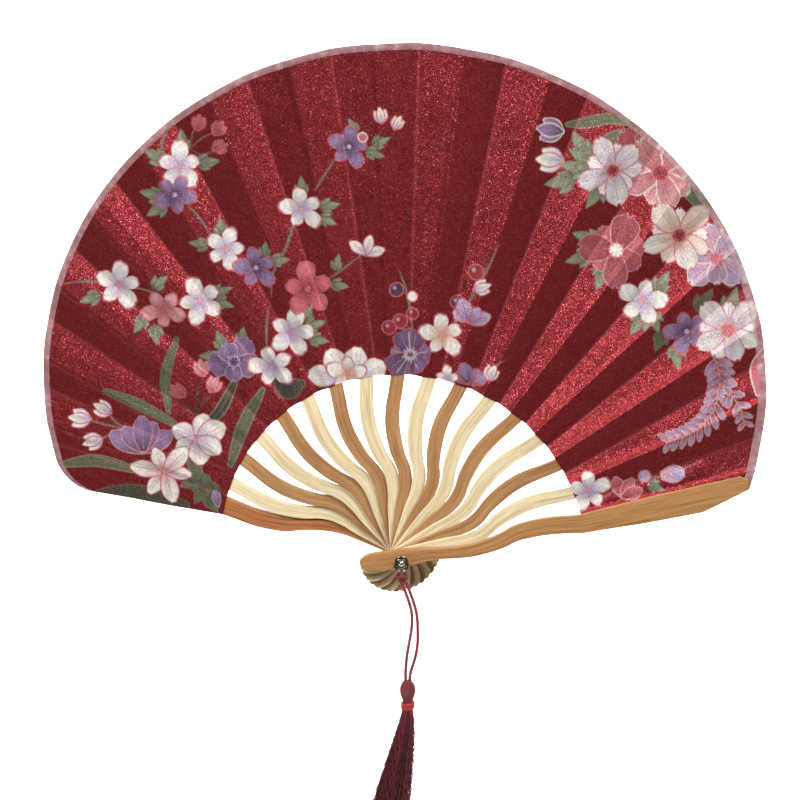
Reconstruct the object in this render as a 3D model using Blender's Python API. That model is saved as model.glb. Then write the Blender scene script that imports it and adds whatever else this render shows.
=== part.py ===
"""A folding hand fan, standing open.

Fifteen thin ribs and two guards turn on one rivet. A pleated cloth leaf is glued to them, and a small
wire ring on the rivet carries a knotted cord and a tassel.

The fan lies in the XZ plane and is looked at along +Y. The rivet's axis is the Y axis, and the origin
is on it, halfway through the stack of blades. Blade 0 is the rear guard and blade 16 the front guard.
Every blade has a level of its own along Y, so that the blades slide past each other as the fan closes.
"""

import math

import bmesh
import bpy
import numpy as np

# The opened fan. Angles are in degrees, counterclockwise from +X.
BLADES = 17
FRONT = BLADES - 1
FRONT_GUARD_ANGLE = 12.3
OPEN_STEP = 9.86  # from one blade to the next
STEP_LOSS = 1.9  # the pleats beside the rear guard open less

# The stack of blades along Y.
LEVEL_PITCH = 0.0014
HEAD_THICKNESS = 0.0011
GUARD_THICKNESS = 0.0024
SLIDE_GAP = 0.0003
GUARD_INNER = FRONT / 2 * LEVEL_PITCH - LEVEL_PITCH + HEAD_THICKNESS / 2 + SLIDE_GAP
GUARD_OUTER = GUARD_INNER + GUARD_THICKNESS

# Blade outlines: (distance along the blade, value), from the round tail behind the rivet outwards.
TAIL_START, TAIL_END = -0.0100, -0.0170
RIB_CENTRE = (
    (-0.0170, 0.0026), (-0.0109, 0.0020), (0.0000, 0.0012), (0.0128, 0.0006),
    (0.0200, -0.0004), (0.0260, -0.0018), (0.0325, -0.00235), (0.0370, -0.0015),
    (0.0410, 0.0001), (0.0484, 0.00185), (0.0555, 0.0026), (0.0620, 0.00225),
    (0.0700, 0.00085), (0.0760, 0.0), (0.0800, 0.0), (0.0840, 0.0), (0.2100, 0.0),
)
RIB_WIDTH = (
    (-0.0170, 0.0074), (-0.0100, 0.0074), (0.0000, 0.0070), (0.0080, 0.0054), (0.0140, 0.0046),
    (0.0240, 0.0048), (0.0340, 0.0056), (0.0440, 0.0060), (0.0720, 0.0059), (0.1400, 0.0052),
    (0.2100, 0.0042),
)
GUARD_CENTRE = (
    (-0.0170, 0.0027), (-0.0109, 0.00205), (0.0000, 0.0012), (0.0128, 0.0005), (0.0166, -0.0001),
    (0.0243, -0.0013), (0.0292, -0.0016), (0.0350, -0.0012), (0.0420, 0.0), (0.0484, 0.0018),
    (0.0550, 0.0022), (0.0615, 0.0020), (0.0705, 0.0008), (0.0760, 0.0), (0.0800, 0.0), (0.0840, 0.0),
    (0.1500, 0.0),
)
GUARD_WIDTH = (
    (-0.0170, 0.0078), (-0.0109, 0.0078), (0.0000, 0.0080), (0.0128, 0.0053), (0.0243, 0.0050),
    (0.0350, 0.0057), (0.0420, 0.0064), (0.0550, 0.0072), (0.0746, 0.0080), (0.1030, 0.0106),
    (0.1246, 0.0114), (0.1500, 0.0120),
)
GUARD_TIP = 0.1450
GUARD_SHOULDER = 0.1246  # where the outer edge of a guard starts to slant towards its tip
TIP_MIDDLE = 0.0020  # the tip lies this far to the inner side of the guard's middle
TIP_WIDTH = 0.0044
TIP_CORNER = 0.0024  # the rounded corner of the inner edge at the tip
TAPER_START, TAPER_END = 0.0600, 0.0740  # the blades thin down here, to go under the leaf

# The leaf. Its inner edge is an arc round the rivet and its outer edge a flat ellipse above it.
LEAF_INNER = 0.0757
ELLIPSE_HALF_WIDTH = 0.1474
ELLIPSE_HALF_HEIGHT = 0.1404
ELLIPSE_ABOVE_RIVET = 0.0695
LEAF_THICKNESS = 0.0002
LEAF_END_ANGLE = 2.7  # how far the leaf reaches past the middle of the rear guard
FRONT_END_ANGLE = 0.0  # and this far past the middle of the front guard, behind it
CORNER_RADIUS = 0.0110  # the leaf's rounded corner over the rear guard
RIB_SHORT_OF_EDGE = 0.0090
LEAF_AT_RIB = -0.00045  # the leaf's middle, from the middle of its rib's level
RIB_UNDER_LEAF = (-0.00025, 0.00010)  # the front and back of a rib under the leaf
LEAF_AT_FRONT_GUARD = -0.01155
LEAF_AT_REAR_GUARD = 0.0109
GLUE_GAP = 0.0001

# A pleat. Its glued panel lies on the blade and leans back from its upper fold, at the blade's counterclockwise
# edge, to its lower fold. Sideways distances from the blade's middle line are given at LEAF_INNER, and the
# folds spread from there to these angles at PLEAT_RADIUS.
PLEAT_RADIUS = 0.2000
UPPER_FOLD_INNER = 0.0034
LOWER_FOLD_INNER = 0.0046
PLEAT_ANGLE = 4.75  # from the lower fold to the upper one
UPPER_FOLD_ANGLE = 0.6
UPPER_FOLD_DRIFT = 0.13  # the panels sit further counterclockwise on their blades towards the front guard
STRIP_EDGE = (0.0034, 0.0026)  # the clockwise edge of the strip that is glued, at LEAF_INNER and at PLEAT_RADIUS
GUARD_STRIP_EDGE = (0.0044, 0.0066)
# How steeply the glued strip and the free rest of the panel lean. Both ease off beside the guards, so that the
# closed fan still nests.
STRIP_SLOPE, STRIP_SLOPE_DRIFT, STRIP_SLOPE_EASE = 0.08, 0.013, 0.105
FREE_SLOPE, FREE_SLOPE_DRIFT, FREE_SLOPE_START, FREE_SLOPE_EASE = 0.36, -0.007, 0.04, 0.075

# The rivet, on the Y axis, and its washers.
BORE_RADIUS = 0.0013
PIN_RADIUS = 0.0010
PIN_HEAD_RADIUS = 0.00145
EYELET_INNER, EYELET_OUTER, EYELET_HEIGHT = 0.0017, 0.0027, 0.0005
WASHER_INNER, WASHER_OUTER, WASHER_HEIGHT = 0.0013, 0.0027, 0.0005
RIVET_SIDES = 20

# The wire ring hangs on the neck of the rivet, between the eyelet and the pin's head.
RING_RADIUS = 0.0026
RING_WIRE = 0.00035
RING_Y = -GUARD_OUTER - EYELET_HEIGHT - 0.0008
RING_Z = -0.0012

# The tassel: two strands of twisted cord from the knot on the ring down to the tassel's head.
CORD_RADIUS = 0.00062
CORD_STEP = 0.0028
CORD_LEFT = (
    (-0.0006, -0.0146, -0.0074), (0.0001, -0.0146, -0.0085), (0.0010, -0.0147, -0.0108),
    (0.0021, -0.0148, -0.0138), (0.0031, -0.0149, -0.0168), (0.0039, -0.0150, -0.0198),
    (0.0043, -0.0151, -0.0228), (0.0043, -0.0151, -0.0262), (0.0039, -0.0151, -0.0298),
    (0.0033, -0.0151, -0.0334), (0.0027, -0.0150, -0.0370), (0.0022, -0.0149, -0.0405),
    (0.0019, -0.0148, -0.0438), (0.0017, -0.0147, -0.0468), (0.0017, -0.0146, -0.0492),
    (0.0018, -0.0146, -0.0508),
)
CORD_RIGHT = (
    (0.0010, -0.0146, -0.0074), (0.0017, -0.0146, -0.0083), (0.0027, -0.0147, -0.0105),
    (0.0038, -0.0148, -0.0134), (0.0048, -0.0149, -0.0163), (0.0057, -0.0150, -0.0193),
    (0.0063, -0.0151, -0.0224), (0.0066, -0.0151, -0.0258), (0.0067, -0.0151, -0.0294),
    (0.0067, -0.0151, -0.0330), (0.0064, -0.0150, -0.0366), (0.0058, -0.0149, -0.0401),
    (0.0049, -0.0148, -0.0434), (0.0040, -0.0147, -0.0464), (0.0035, -0.0146, -0.0490),
    (0.0034, -0.0146, -0.0508),
)
KNOT_MIDDLE = (0.0002, -0.0146, -0.0058)
KNOT_SIZE = (0.0025, 0.0015, 0.0013)  # half of its width, depth and height
TASSEL_X, TASSEL_Y = 0.0026, -0.0146
# (height, radius) down the turned head of the tassel, whose neck goes into the skirt's top.
HEAD_PROFILE = (
    (-0.0511, 0.0014), (-0.0519, 0.0023), (-0.0532, 0.0030), (-0.0550, 0.0033), (-0.0568, 0.0030),
    (-0.0584, 0.0024), (-0.0597, 0.0020), (-0.0632, 0.0019),
)
BAND_TOP, BAND_BOTTOM, BAND_INNER, BAND_OUTER = -0.0602, -0.0629, 0.0022, 0.0029
# (height, sideways shift, half width, half depth) down the skirt of strands.
SKIRT_SECTIONS = (
    (-0.0635, 0.0026, 0.0024, 0.0024), (-0.0680, 0.0022, 0.0032, 0.0029),
    (-0.0740, 0.0014, 0.0042, 0.0036), (-0.0820, 0.0000, 0.0055, 0.0043),
    (-0.0920, -0.0018, 0.0070, 0.0049), (-0.1030, -0.0037, 0.0083, 0.0053),
    (-0.1180, -0.0052, 0.0091, 0.0056), (-0.1320, -0.0060, 0.0094, 0.0057),
    (-0.1440, -0.0063, 0.0094, 0.0057),
)
SKIRT_SIDES = 16


def open_step(k):
    """The angle from blade k - 1 to blade k when the fan is open."""
    return OPEN_STEP - STEP_LOSS * math.exp(1 - k)


def blade_angle(k):
    return FRONT_GUARD_ANGLE + sum(open_step(j) for j in range(k + 1, BLADES))


def level(k):
    """The middle of blade k's level along Y. The front guard's is nearest the viewer."""
    return (FRONT / 2 - k) * LEVEL_PITCH


def pleat_slope(k):
    """How steeply the strip glued to blade k leans, and the blade with it, as rise over width."""
    if k in (0, FRONT):
        return 0.0
    return min(STRIP_SLOPE + STRIP_SLOPE_DRIFT * k, STRIP_SLOPE_EASE * (FRONT - k))


def free_slope(k):
    """How steeply the rest of the panel leans, from the strip to the lower fold."""
    return min(FREE_SLOPE + FREE_SLOPE_DRIFT * k, FREE_SLOPE_START + FREE_SLOPE_EASE * k)


def spread(inner, outer, r):
    """A sideways distance that is inner at LEAF_INNER and outer at PLEAT_RADIUS, in proportion between them."""
    return inner + (outer - inner) * (r - LEAF_INNER) / (PLEAT_RADIUS - LEAF_INNER)


def upper_fold(k, r):
    angle = UPPER_FOLD_ANGLE + UPPER_FOLD_DRIFT * k
    return spread(UPPER_FOLD_INNER, PLEAT_RADIUS * math.sin(math.radians(angle)), r)


def strip_edge(k, r):
    return -spread(*(GUARD_STRIP_EDGE if k == 0 else STRIP_EDGE), r)


def lower_fold(k, r):
    angle = PLEAT_ANGLE - UPPER_FOLD_ANGLE - UPPER_FOLD_DRIFT * k
    return -spread(LOWER_FOLD_INNER, PLEAT_RADIUS * math.sin(math.radians(angle)), r)


def leaf_depth(k, sideways, r):
    """The depth of blade k's glued panel at a sideways distance from the blade's middle line."""
    edge = strip_edge(k, r)
    if sideways >= edge:
        return leaf_level(k) - pleat_slope(k) * sideways
    return leaf_level(k) - pleat_slope(k) * edge + free_slope(k) * (edge - sideways)


def leaf_level(k):
    """Where the panel glued to blade k crosses that blade's middle line."""
    if k == 0:
        return LEAF_AT_REAR_GUARD
    if k == FRONT:
        return LEAF_AT_FRONT_GUARD
    return level(k) + LEAF_AT_RIB


def leaf_outer(angle):
    """The distance from the rivet to the leaf's outer edge, an ellipse, in the direction angle."""
    u, v = math.cos(math.radians(angle)), math.sin(math.radians(angle))
    a = (u / ELLIPSE_HALF_WIDTH) ** 2 + (v / ELLIPSE_HALF_HEIGHT) ** 2
    b = -2 * v * ELLIPSE_ABOVE_RIVET / ELLIPSE_HALF_HEIGHT**2
    c = (ELLIPSE_ABOVE_RIVET / ELLIPSE_HALF_HEIGHT) ** 2 - 1
    return (-b + math.sqrt(b * b - 4 * a * c)) / (2 * a)


def rounded_end(angle):
    """The outer edge with the corner over the rear guard rounded off."""
    edge = leaf_outer(angle)
    end = blade_angle(0) + LEAF_END_ANGLE
    to_end = math.radians(end - angle) * edge
    if to_end >= CORNER_RADIUS:
        return edge
    return edge - CORNER_RADIUS + math.sqrt(max(0.0, to_end * (2 * CORNER_RADIUS - to_end)))


def ramp(value, start, end):
    """0 before start and 1 after end, with a smooth change between them."""
    t = min(1.0, max(0.0, (value - start) / (end - start)))
    return t * t * (3 - 2 * t)


def smooth(points, x):
    """The smooth curve through points at x: cubic pieces whose slopes are those between the neighbours."""
    xs, ys = np.array(points).T
    slopes = np.gradient(ys, xs)
    i = int(np.clip(np.searchsorted(xs, x) - 1, 0, len(xs) - 2))
    width = xs[i + 1] - xs[i]
    t = (x - xs[i]) / width
    return float(
        ys[i] * (1 + 2 * t) * (1 - t) ** 2
        + slopes[i] * width * t * (1 - t) ** 2
        + ys[i + 1] * t * t * (3 - 2 * t)
        + slopes[i + 1] * width * t * t * (t - 1)
    )


def material(name, colour, roughness, metallic=0.0):
    made = bpy.data.materials.new(name)
    made.use_nodes = True
    shader = made.node_tree.nodes["Principled BSDF"]
    shader.inputs["Base Color"].default_value = (*colour, 1.0)
    shader.inputs["Roughness"].default_value = roughness
    shader.inputs["Metallic"].default_value = metallic
    return made


def add_object(name, data, look):
    data.materials.append(look)
    made = bpy.data.objects.new(name, data)
    bpy.context.scene.collection.objects.link(made)
    return made


def mesh_of(name, points, faces):
    """A mesh whose faces all point out, from points and faces that close one body."""
    data = bpy.data.meshes.new(name)
    data.from_pydata([tuple(p) for p in points], [], faces)
    work = bmesh.new()
    work.from_mesh(data)
    bmesh.ops.recalc_face_normals(work, faces=work.faces)
    work.to_mesh(data)
    work.free()
    return data


def loft(name, sections):
    """One body through the sections, which are closed outlines with the same number of points."""
    count = len(sections[0])
    points = [p for section in sections for p in section]
    faces = [list(range(count)), list(range(len(points) - count, len(points)))]
    for i in range(len(sections) - 1):
        for j in range(count):
            k = (j + 1) % count
            faces.append([i * count + j, i * count + k, (i + 1) * count + k, (i + 1) * count + j])
    return mesh_of(name, points, faces)


def blade_stations(tip):
    """Distances along a blade at which its outline is set: closer at the round tail and in the waves."""
    tail = [TAIL_END + (TAIL_START - TAIL_END) * (1 - math.cos(t)) for t in np.linspace(0.25, math.pi / 2, 5)]
    waves = list(np.arange(-0.005, 0.0770, 0.0036))
    return tail + waves + list(np.linspace(0.0860, tip, 4))


def tail_share(s):
    """How much of its full width a blade has at s, because its tail is round."""
    t = max(0.0, (TAIL_START - s) / (TAIL_START - TAIL_END))
    return math.sqrt(max(0.0, 1 - t * t))


def blade_section(s, low, high, front, back):
    """The four corners across a blade at s. front and back give the depth at a sideways position."""
    return [(s, front(low), low), (s, front(high), high), (s, back(high), high), (s, back(low), low)]


def rib_mesh(k, tip):
    """A rib along +X with its width along Z: wavy and flat to the leaf, then thin and leaning under it."""
    slope = pleat_slope(k)
    sections = []
    for s in blade_stations(tip):
        half = smooth(RIB_WIDTH, s) / 2 * tail_share(s)
        middle = smooth(RIB_CENTRE, s)
        under = ramp(s, TAPER_START, TAPER_END)
        lean = slope * under
        front = -HEAD_THICKNESS / 2 * (1 - under) + RIB_UNDER_LEAF[0] * under
        back = HEAD_THICKNESS / 2 * (1 - under) + RIB_UNDER_LEAF[1] * under
        sections.append(
            blade_section(
                s,
                middle - half,
                middle + half,
                lambda z, y=front, m=lean: y - m * z,
                lambda z, y=back, m=lean: y - m * z,
            )
        )
    return loft(f"rib_{k:02d}", sections)


def guard_mesh(k):
    """A guard along +X, its tip slanting on the side away from the leaf. Its inner face thins under the leaf."""
    side = 1 if k == FRONT else -1  # the leaf is on this side of the guard
    outer = -GUARD_OUTER if k == FRONT else GUARD_OUTER
    inner = -GUARD_INNER if k == FRONT else GUARD_INNER
    towards_guard = -1 if k == FRONT else 1
    glued = leaf_level(k) + towards_guard * (LEAF_THICKNESS / 2 + GLUE_GAP)
    stations = [s for s in blade_stations(GUARD_SHOULDER) if s < GUARD_SHOULDER - 0.0001]
    stations += [GUARD_SHOULDER, 0.1350, GUARD_TIP - TIP_CORNER, GUARD_TIP]
    sections = []
    for s in stations:
        half = smooth(GUARD_WIDTH, s) / 2 * tail_share(s)
        middle = smooth(GUARD_CENTRE, s)
        low, high = middle - half, middle + half
        if s > GUARD_SHOULDER:
            share = (s - GUARD_SHOULDER) / (GUARD_TIP - GUARD_SHOULDER)
            slanted = -half + share * (TIP_MIDDLE - TIP_WIDTH / 2 + half)
            straight = half if s < GUARD_TIP else TIP_MIDDLE + TIP_WIDTH / 2
            low, high = sorted((side * slanted, side * straight))
        under = ramp(s, TAPER_START, TAPER_END)
        face = inner * (1 - under) + glued * under
        lean = pleat_slope(k) * under
        inner_face = lambda z, y=face, m=lean: y - m * z
        outer_face = lambda z: outer
        faces = (outer_face, inner_face) if k == FRONT else (inner_face, outer_face)
        sections.append(blade_section(s, low, high, *faces))
    return loft(blade_name(k), sections)


def blade_name(k):
    return {0: "rear_guard", FRONT: "front_guard"}.get(k, f"rib_{k:02d}")


def add_blades(looks):
    bore = cylinder_cutter("rivet_bore", BORE_RADIUS, 2 * GUARD_OUTER + 0.004)
    for k in range(BLADES):
        guard = k in (0, FRONT)
        if guard:
            data = guard_mesh(k)
        else:
            data = rib_mesh(k, leaf_outer(blade_angle(k)) - RIB_SHORT_OF_EDGE)
        look = looks[blade_name(k)] if guard else looks["pale_bamboo" if k % 2 else "brown_bamboo"]
        made = add_object(blade_name(k), data, look)
        made.location = (0, 0 if guard else level(k), 0)
        made.rotation_euler = (0, -math.radians(blade_angle(k)), 0)
        hole = made.modifiers.new("rivet_bore", "BOOLEAN")
        hole.operation = "DIFFERENCE"
        hole.object = bore


def cylinder_cutter(name, radius, length):
    """A cylinder on the Y axis that other pieces are cut with."""
    bpy.ops.mesh.primitive_cylinder_add(
        vertices=16, radius=radius, depth=length, rotation=(math.pi / 2, 0, 0)
    )
    made = bpy.context.object
    made.name = name
    made.hide_render = True
    made.display_type = "WIRE"
    return made


def fold_line(k, sideways):
    """A line up the leaf: from a distance from the rivet, its (angle, depth). sideways is a function like upper_fold."""

    def at(r):
        offset = sideways(k, r)
        return blade_angle(k) + math.degrees(math.asin(offset / r)), leaf_depth(k, offset, r)

    return at


def radial_line(k, from_middle):
    """The same for a radial line, from_middle degrees counterclockwise from blade k."""
    return fold_line(k, lambda k, r: r * math.sin(math.radians(from_middle)))


def mix(first, second, share):
    """The line that is share of the way from the first line to the second."""

    def at(r):
        return tuple(a + share * (b - a) for a, b in zip(first(r), second(r), strict=True))

    return at


def line_end(line, outer):
    """How far from the rivet a line meets the outer edge."""
    r = PLEAT_RADIUS
    for _ in range(8):
        r = outer(line(r)[0])
    return r


def panel_mesh(name, lines, outer, along):
    """A thin panel of the leaf through lines that run up it, from its clockwise to its counterclockwise edge."""
    points = []
    for offset in (-LEAF_THICKNESS / 2, LEAF_THICKNESS / 2):
        for line in lines:
            for r in np.linspace(LEAF_INNER, line_end(line, outer), along + 1):
                angle, depth = line(r)
                turn = math.radians(angle)
                points.append((r * math.cos(turn), depth + offset, r * math.sin(turn)))
    across = len(lines) - 1
    rows = along + 1
    per_sheet = len(lines) * rows
    faces = []
    for start in (0, per_sheet):
        for i in range(across):
            for j in range(along):
                a = start + i * rows + j
                faces.append([a, a + rows, a + rows + 1, a + 1])
    border = [i * rows for i in range(across + 1)]
    border += [across * rows + j for j in range(1, rows)]
    border += [i * rows + along for i in range(across - 1, -1, -1)]
    border += list(range(along - 1, 0, -1))
    for a, b in zip(border, border[1:] + border[:1], strict=True):
        faces.append([a, b, b + per_sheet, a + per_sheet])
    return mesh_of(name, points, faces)


def glued_lines(k):
    """The lines of the panel that is glued to blade k."""
    if k == FRONT:
        low, high = radial_line(k, -FRONT_END_ANGLE), fold_line(k, upper_fold)
        return [mix(low, high, share) for share in (0, 0.5, 1)]
    low, strip = fold_line(k, lower_fold), fold_line(k, strip_edge)
    free = [low, mix(low, strip, 0.5)]
    if k > 0:
        return [*free, strip, radial_line(k, 0), fold_line(k, upper_fold)]
    return [*free, strip, *(radial_line(k, a) for a in np.linspace(-1.2, LEAF_END_ANGLE, 10))]


def add_leaf(look):
    for k in range(BLADES):
        data = panel_mesh(f"leaf_glued_{k:02d}", glued_lines(k), leaf_outer if k else rounded_end, 2)
        add_object(data.name, data, look)
    for k in range(1, BLADES):
        high, low = fold_line(k, upper_fold), fold_line(k - 1, lower_fold)
        lines = [mix(high, low, share) for share in (0, 0.33, 0.67, 1)]
        data = panel_mesh(f"leaf_fold_{k:02d}", lines, leaf_outer, 2)
        add_object(data.name, data, look)


def turned(name, profile, sides, middle, axis):
    """A closed turned body: profile is (position along the axis, radius), and middle is on the axis."""
    sections = []
    for along, radius in profile:
        ring = []
        for turn in np.linspace(0, 2 * math.pi, sides, endpoint=False):
            a, b = radius * math.cos(turn), radius * math.sin(turn)
            offset = (a, along, b) if axis == "Y" else (a, b, along)
            ring.append(tuple(m + o for m, o in zip(middle, offset, strict=True)))
        sections.append(ring)
    data = loft(name, sections)
    data.shade_smooth()
    data.set_sharp_from_angle(angle=math.radians(40))
    return data


def flat_ring(name, inner, outer, low, high, axis, middle, sides):
    """A washer or band between two radii and two positions along its axis."""
    points = []
    for turn in np.linspace(0, 2 * math.pi, sides, endpoint=False):
        for radius, along in ((inner, low), (outer, low), (outer, high), (inner, high)):
            a, b = radius * math.cos(turn), radius * math.sin(turn)
            offset = (a, along, b) if axis == "Y" else (a, b, along)
            points.append(tuple(m + o for m, o in zip(middle, offset, strict=True)))
    faces = []
    for i in range(sides):
        for j in range(4):
            a, b = i * 4 + j, i * 4 + (j + 1) % 4
            faces.append([a, b, (b + 4) % len(points), (a + 4) % len(points)])
    return mesh_of(name, points, faces)


def add_rivet(steel):
    """The pin with its domed head in front and its spread end behind, an eyelet and a washer."""
    face = GUARD_OUTER + 0.0001
    neck = face + EYELET_HEIGHT + 0.0013
    dome = [(-neck - PIN_HEAD_RADIUS * math.sin(t), PIN_HEAD_RADIUS * math.cos(t)) for t in (1.35, 1.0, 0.6, 0.2)]
    back = face + WASHER_HEIGHT + 0.0002
    profile = [*dome, (-neck, PIN_HEAD_RADIUS), (-neck, PIN_RADIUS), (back, PIN_RADIUS)]
    profile += [(back, PIN_HEAD_RADIUS), (back + 0.0004, PIN_HEAD_RADIUS), (back + 0.0007, PIN_RADIUS)]
    add_object("rivet_pin", turned("rivet_pin", profile, RIVET_SIDES, (0, 0, 0), "Y"), steel)
    eyelet = flat_ring(
        "front_eyelet", EYELET_INNER, EYELET_OUTER, -face - EYELET_HEIGHT, -face, "Y", (0, 0, 0), RIVET_SIDES
    )
    add_object("front_eyelet", eyelet, steel)
    washer = flat_ring(
        "rear_washer", WASHER_INNER, WASHER_OUTER, face, face + WASHER_HEIGHT, "Y", (0, 0, 0), RIVET_SIDES
    )
    add_object("rear_washer", washer, steel)


def add_wire_ring(steel):
    bpy.ops.mesh.primitive_torus_add(
        location=(0, RING_Y, RING_Z),
        rotation=(math.pi / 2, 0, 0),
        major_radius=RING_RADIUS,
        minor_radius=RING_WIRE,
        major_segments=20,
        minor_segments=8,
    )
    made = bpy.context.object
    made.name = "wire_ring"
    made.data.shade_smooth()
    made.data.materials.append(steel)


def cord_points(route):
    """Points CORD_STEP apart on the smooth curve through the route's own points."""
    route = np.array(route)
    at = np.concatenate([[0], np.cumsum(np.linalg.norm(np.diff(route, axis=0), axis=1))])
    count = int(at[-1] / CORD_STEP) + 1
    tracks = [list(zip(at, route[:, i], strict=True)) for i in range(3)]
    return [tuple(smooth(track, s) for track in tracks) for s in np.linspace(0, at[-1], count)]


def add_cord(name, route, look):
    """A strand of cord as a round tube with filled ends."""
    data = bpy.data.curves.new(name, "CURVE")
    data.dimensions = "3D"
    data.bevel_depth = CORD_RADIUS
    data.bevel_resolution = 2
    data.use_fill_caps = True
    points = cord_points(route)
    spline = data.splines.new("POLY")
    spline.points.add(len(points) - 1)
    for point, place in zip(spline.points, points, strict=True):
        point.co = (*place, 1.0)
    add_object(name, data, look)


def add_tassel(cord, band, strands):
    add_cord("cord_left", CORD_LEFT, cord)
    add_cord("cord_right", CORD_RIGHT, cord)
    bpy.ops.mesh.primitive_uv_sphere_add(
        segments=12, ring_count=8, radius=1.0, location=KNOT_MIDDLE, scale=KNOT_SIZE
    )
    knot = bpy.context.object
    knot.name = "cord_knot"
    knot.data.shade_smooth()
    knot.data.materials.append(cord)
    middle = (TASSEL_X, TASSEL_Y, 0)
    add_object("tassel_head", turned("tassel_head", HEAD_PROFILE, 16, middle, "Z"), strands)
    ring = flat_ring("tassel_band", BAND_INNER, BAND_OUTER, BAND_BOTTOM, BAND_TOP, "Z", middle, 16)
    add_object("tassel_band", ring, band)
    sections = []
    for height, shift, half_width, half_depth in SKIRT_SECTIONS:
        turns = np.linspace(0, 2 * math.pi, SKIRT_SIDES, endpoint=False)
        sections.append(
            [(shift + half_width * math.cos(t), TASSEL_Y + half_depth * math.sin(t), height) for t in turns]
        )
    skirt = loft("tassel_skirt", sections)
    skirt.shade_smooth()
    skirt.set_sharp_from_angle(angle=math.radians(40))
    add_object("tassel_skirt", skirt, strands)


def main():
    for old in list(bpy.data.objects):
        bpy.data.objects.remove(old)
    looks = {
        "pale_bamboo": material("pale_bamboo", (0.62, 0.52, 0.31), 0.45),
        "brown_bamboo": material("brown_bamboo", (0.40, 0.20, 0.08), 0.45),
        "rear_guard": material("dark_bamboo", (0.35, 0.13, 0.05), 0.45),
        "front_guard": material("golden_bamboo", (0.47, 0.24, 0.08), 0.40),
    }
    add_blades(looks)
    add_leaf(material("crimson_silk", (0.38, 0.01, 0.03), 0.5))
    steel = material("steel", (0.55, 0.55, 0.53), 0.3, 1.0)
    add_rivet(steel)
    add_wire_ring(steel)
    add_tassel(
        material("red_cord", (0.30, 0.01, 0.01), 0.7),
        material("red_ribbon", (0.45, 0.02, 0.02), 0.5),
        material("maroon_strands", (0.12, 0.01, 0.015), 0.6),
    )


main()
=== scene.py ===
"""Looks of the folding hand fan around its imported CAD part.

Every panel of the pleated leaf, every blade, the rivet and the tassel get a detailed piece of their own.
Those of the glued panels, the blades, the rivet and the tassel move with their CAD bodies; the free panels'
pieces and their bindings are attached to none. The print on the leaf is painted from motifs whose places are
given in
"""

import math

import bpy
import numpy as np
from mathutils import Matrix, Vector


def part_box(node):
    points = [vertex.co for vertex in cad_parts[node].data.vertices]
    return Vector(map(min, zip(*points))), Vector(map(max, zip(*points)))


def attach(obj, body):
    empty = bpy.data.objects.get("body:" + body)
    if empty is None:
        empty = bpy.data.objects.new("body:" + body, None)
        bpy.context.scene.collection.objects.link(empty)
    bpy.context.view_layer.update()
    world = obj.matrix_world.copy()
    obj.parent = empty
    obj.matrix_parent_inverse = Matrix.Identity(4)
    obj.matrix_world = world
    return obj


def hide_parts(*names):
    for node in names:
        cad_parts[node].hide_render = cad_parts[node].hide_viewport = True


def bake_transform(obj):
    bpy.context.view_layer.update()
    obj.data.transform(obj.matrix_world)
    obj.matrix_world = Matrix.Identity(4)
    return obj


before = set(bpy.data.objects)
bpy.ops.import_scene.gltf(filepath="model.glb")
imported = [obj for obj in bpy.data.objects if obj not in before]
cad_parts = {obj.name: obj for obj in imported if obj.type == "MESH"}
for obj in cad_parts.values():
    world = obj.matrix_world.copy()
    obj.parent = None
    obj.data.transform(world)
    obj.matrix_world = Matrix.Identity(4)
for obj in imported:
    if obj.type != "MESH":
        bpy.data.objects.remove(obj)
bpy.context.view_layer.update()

# The fan as the CAD part has it. Angles are in degrees, counterclockwise from +X.
BLADES = 17
FRONT = BLADES - 1
FRONT_GUARD_ANGLE = 12.3
OPEN_STEP, STEP_LOSS = 9.86, 1.9
LEVEL_PITCH = 0.0014
HEAD_THICKNESS = 0.0011
GUARD_INNER = FRONT / 2 * LEVEL_PITCH - LEVEL_PITCH + HEAD_THICKNESS / 2 + 0.0003
GUARD_OUTER = GUARD_INNER + 0.0024
TAIL_START, TAIL_END = -0.0100, -0.0170
RIB_CENTRE = (
    (-0.0170, 0.0026), (-0.0109, 0.0020), (0.0000, 0.0012), (0.0128, 0.0006),
    (0.0200, -0.0004), (0.0260, -0.0018), (0.0325, -0.00235), (0.0370, -0.0015),
    (0.0410, 0.0001), (0.0484, 0.00185), (0.0555, 0.0026), (0.0620, 0.00225),
    (0.0700, 0.00085), (0.0760, 0.0), (0.0800, 0.0), (0.0840, 0.0), (0.2100, 0.0),
)
RIB_WIDTH = (
    (-0.0170, 0.0074), (-0.0100, 0.0074), (0.0000, 0.0070), (0.0080, 0.0054), (0.0140, 0.0046),
    (0.0240, 0.0048), (0.0340, 0.0056), (0.0440, 0.0060), (0.0720, 0.0059), (0.1400, 0.0052),
    (0.2100, 0.0042),
)
GUARD_CENTRE = (
    (-0.0170, 0.0027), (-0.0109, 0.00205), (0.0000, 0.0012), (0.0128, 0.0005), (0.0166, -0.0001),
    (0.0243, -0.0013), (0.0292, -0.0016), (0.0350, -0.0012), (0.0420, 0.0), (0.0484, 0.0018),
    (0.0550, 0.0022), (0.0615, 0.0020), (0.0705, 0.0008), (0.0760, 0.0), (0.0800, 0.0), (0.0840, 0.0),
    (0.1500, 0.0),
)
GUARD_WIDTH = (
    (-0.0170, 0.0078), (-0.0109, 0.0078), (0.0000, 0.0080), (0.0128, 0.0053), (0.0243, 0.0050),
    (0.0350, 0.0057), (0.0420, 0.0064), (0.0550, 0.0072), (0.0746, 0.0080), (0.1030, 0.0106),
    (0.1246, 0.0114), (0.1500, 0.0120),
)
GUARD_TIP, GUARD_SHOULDER = 0.1450, 0.1246
TIP_MIDDLE, TIP_WIDTH, TIP_CORNER = 0.0020, 0.0044, 0.0024
TAPER_START, TAPER_END = 0.0600, 0.0740
LEAF_INNER = 0.0757
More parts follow.
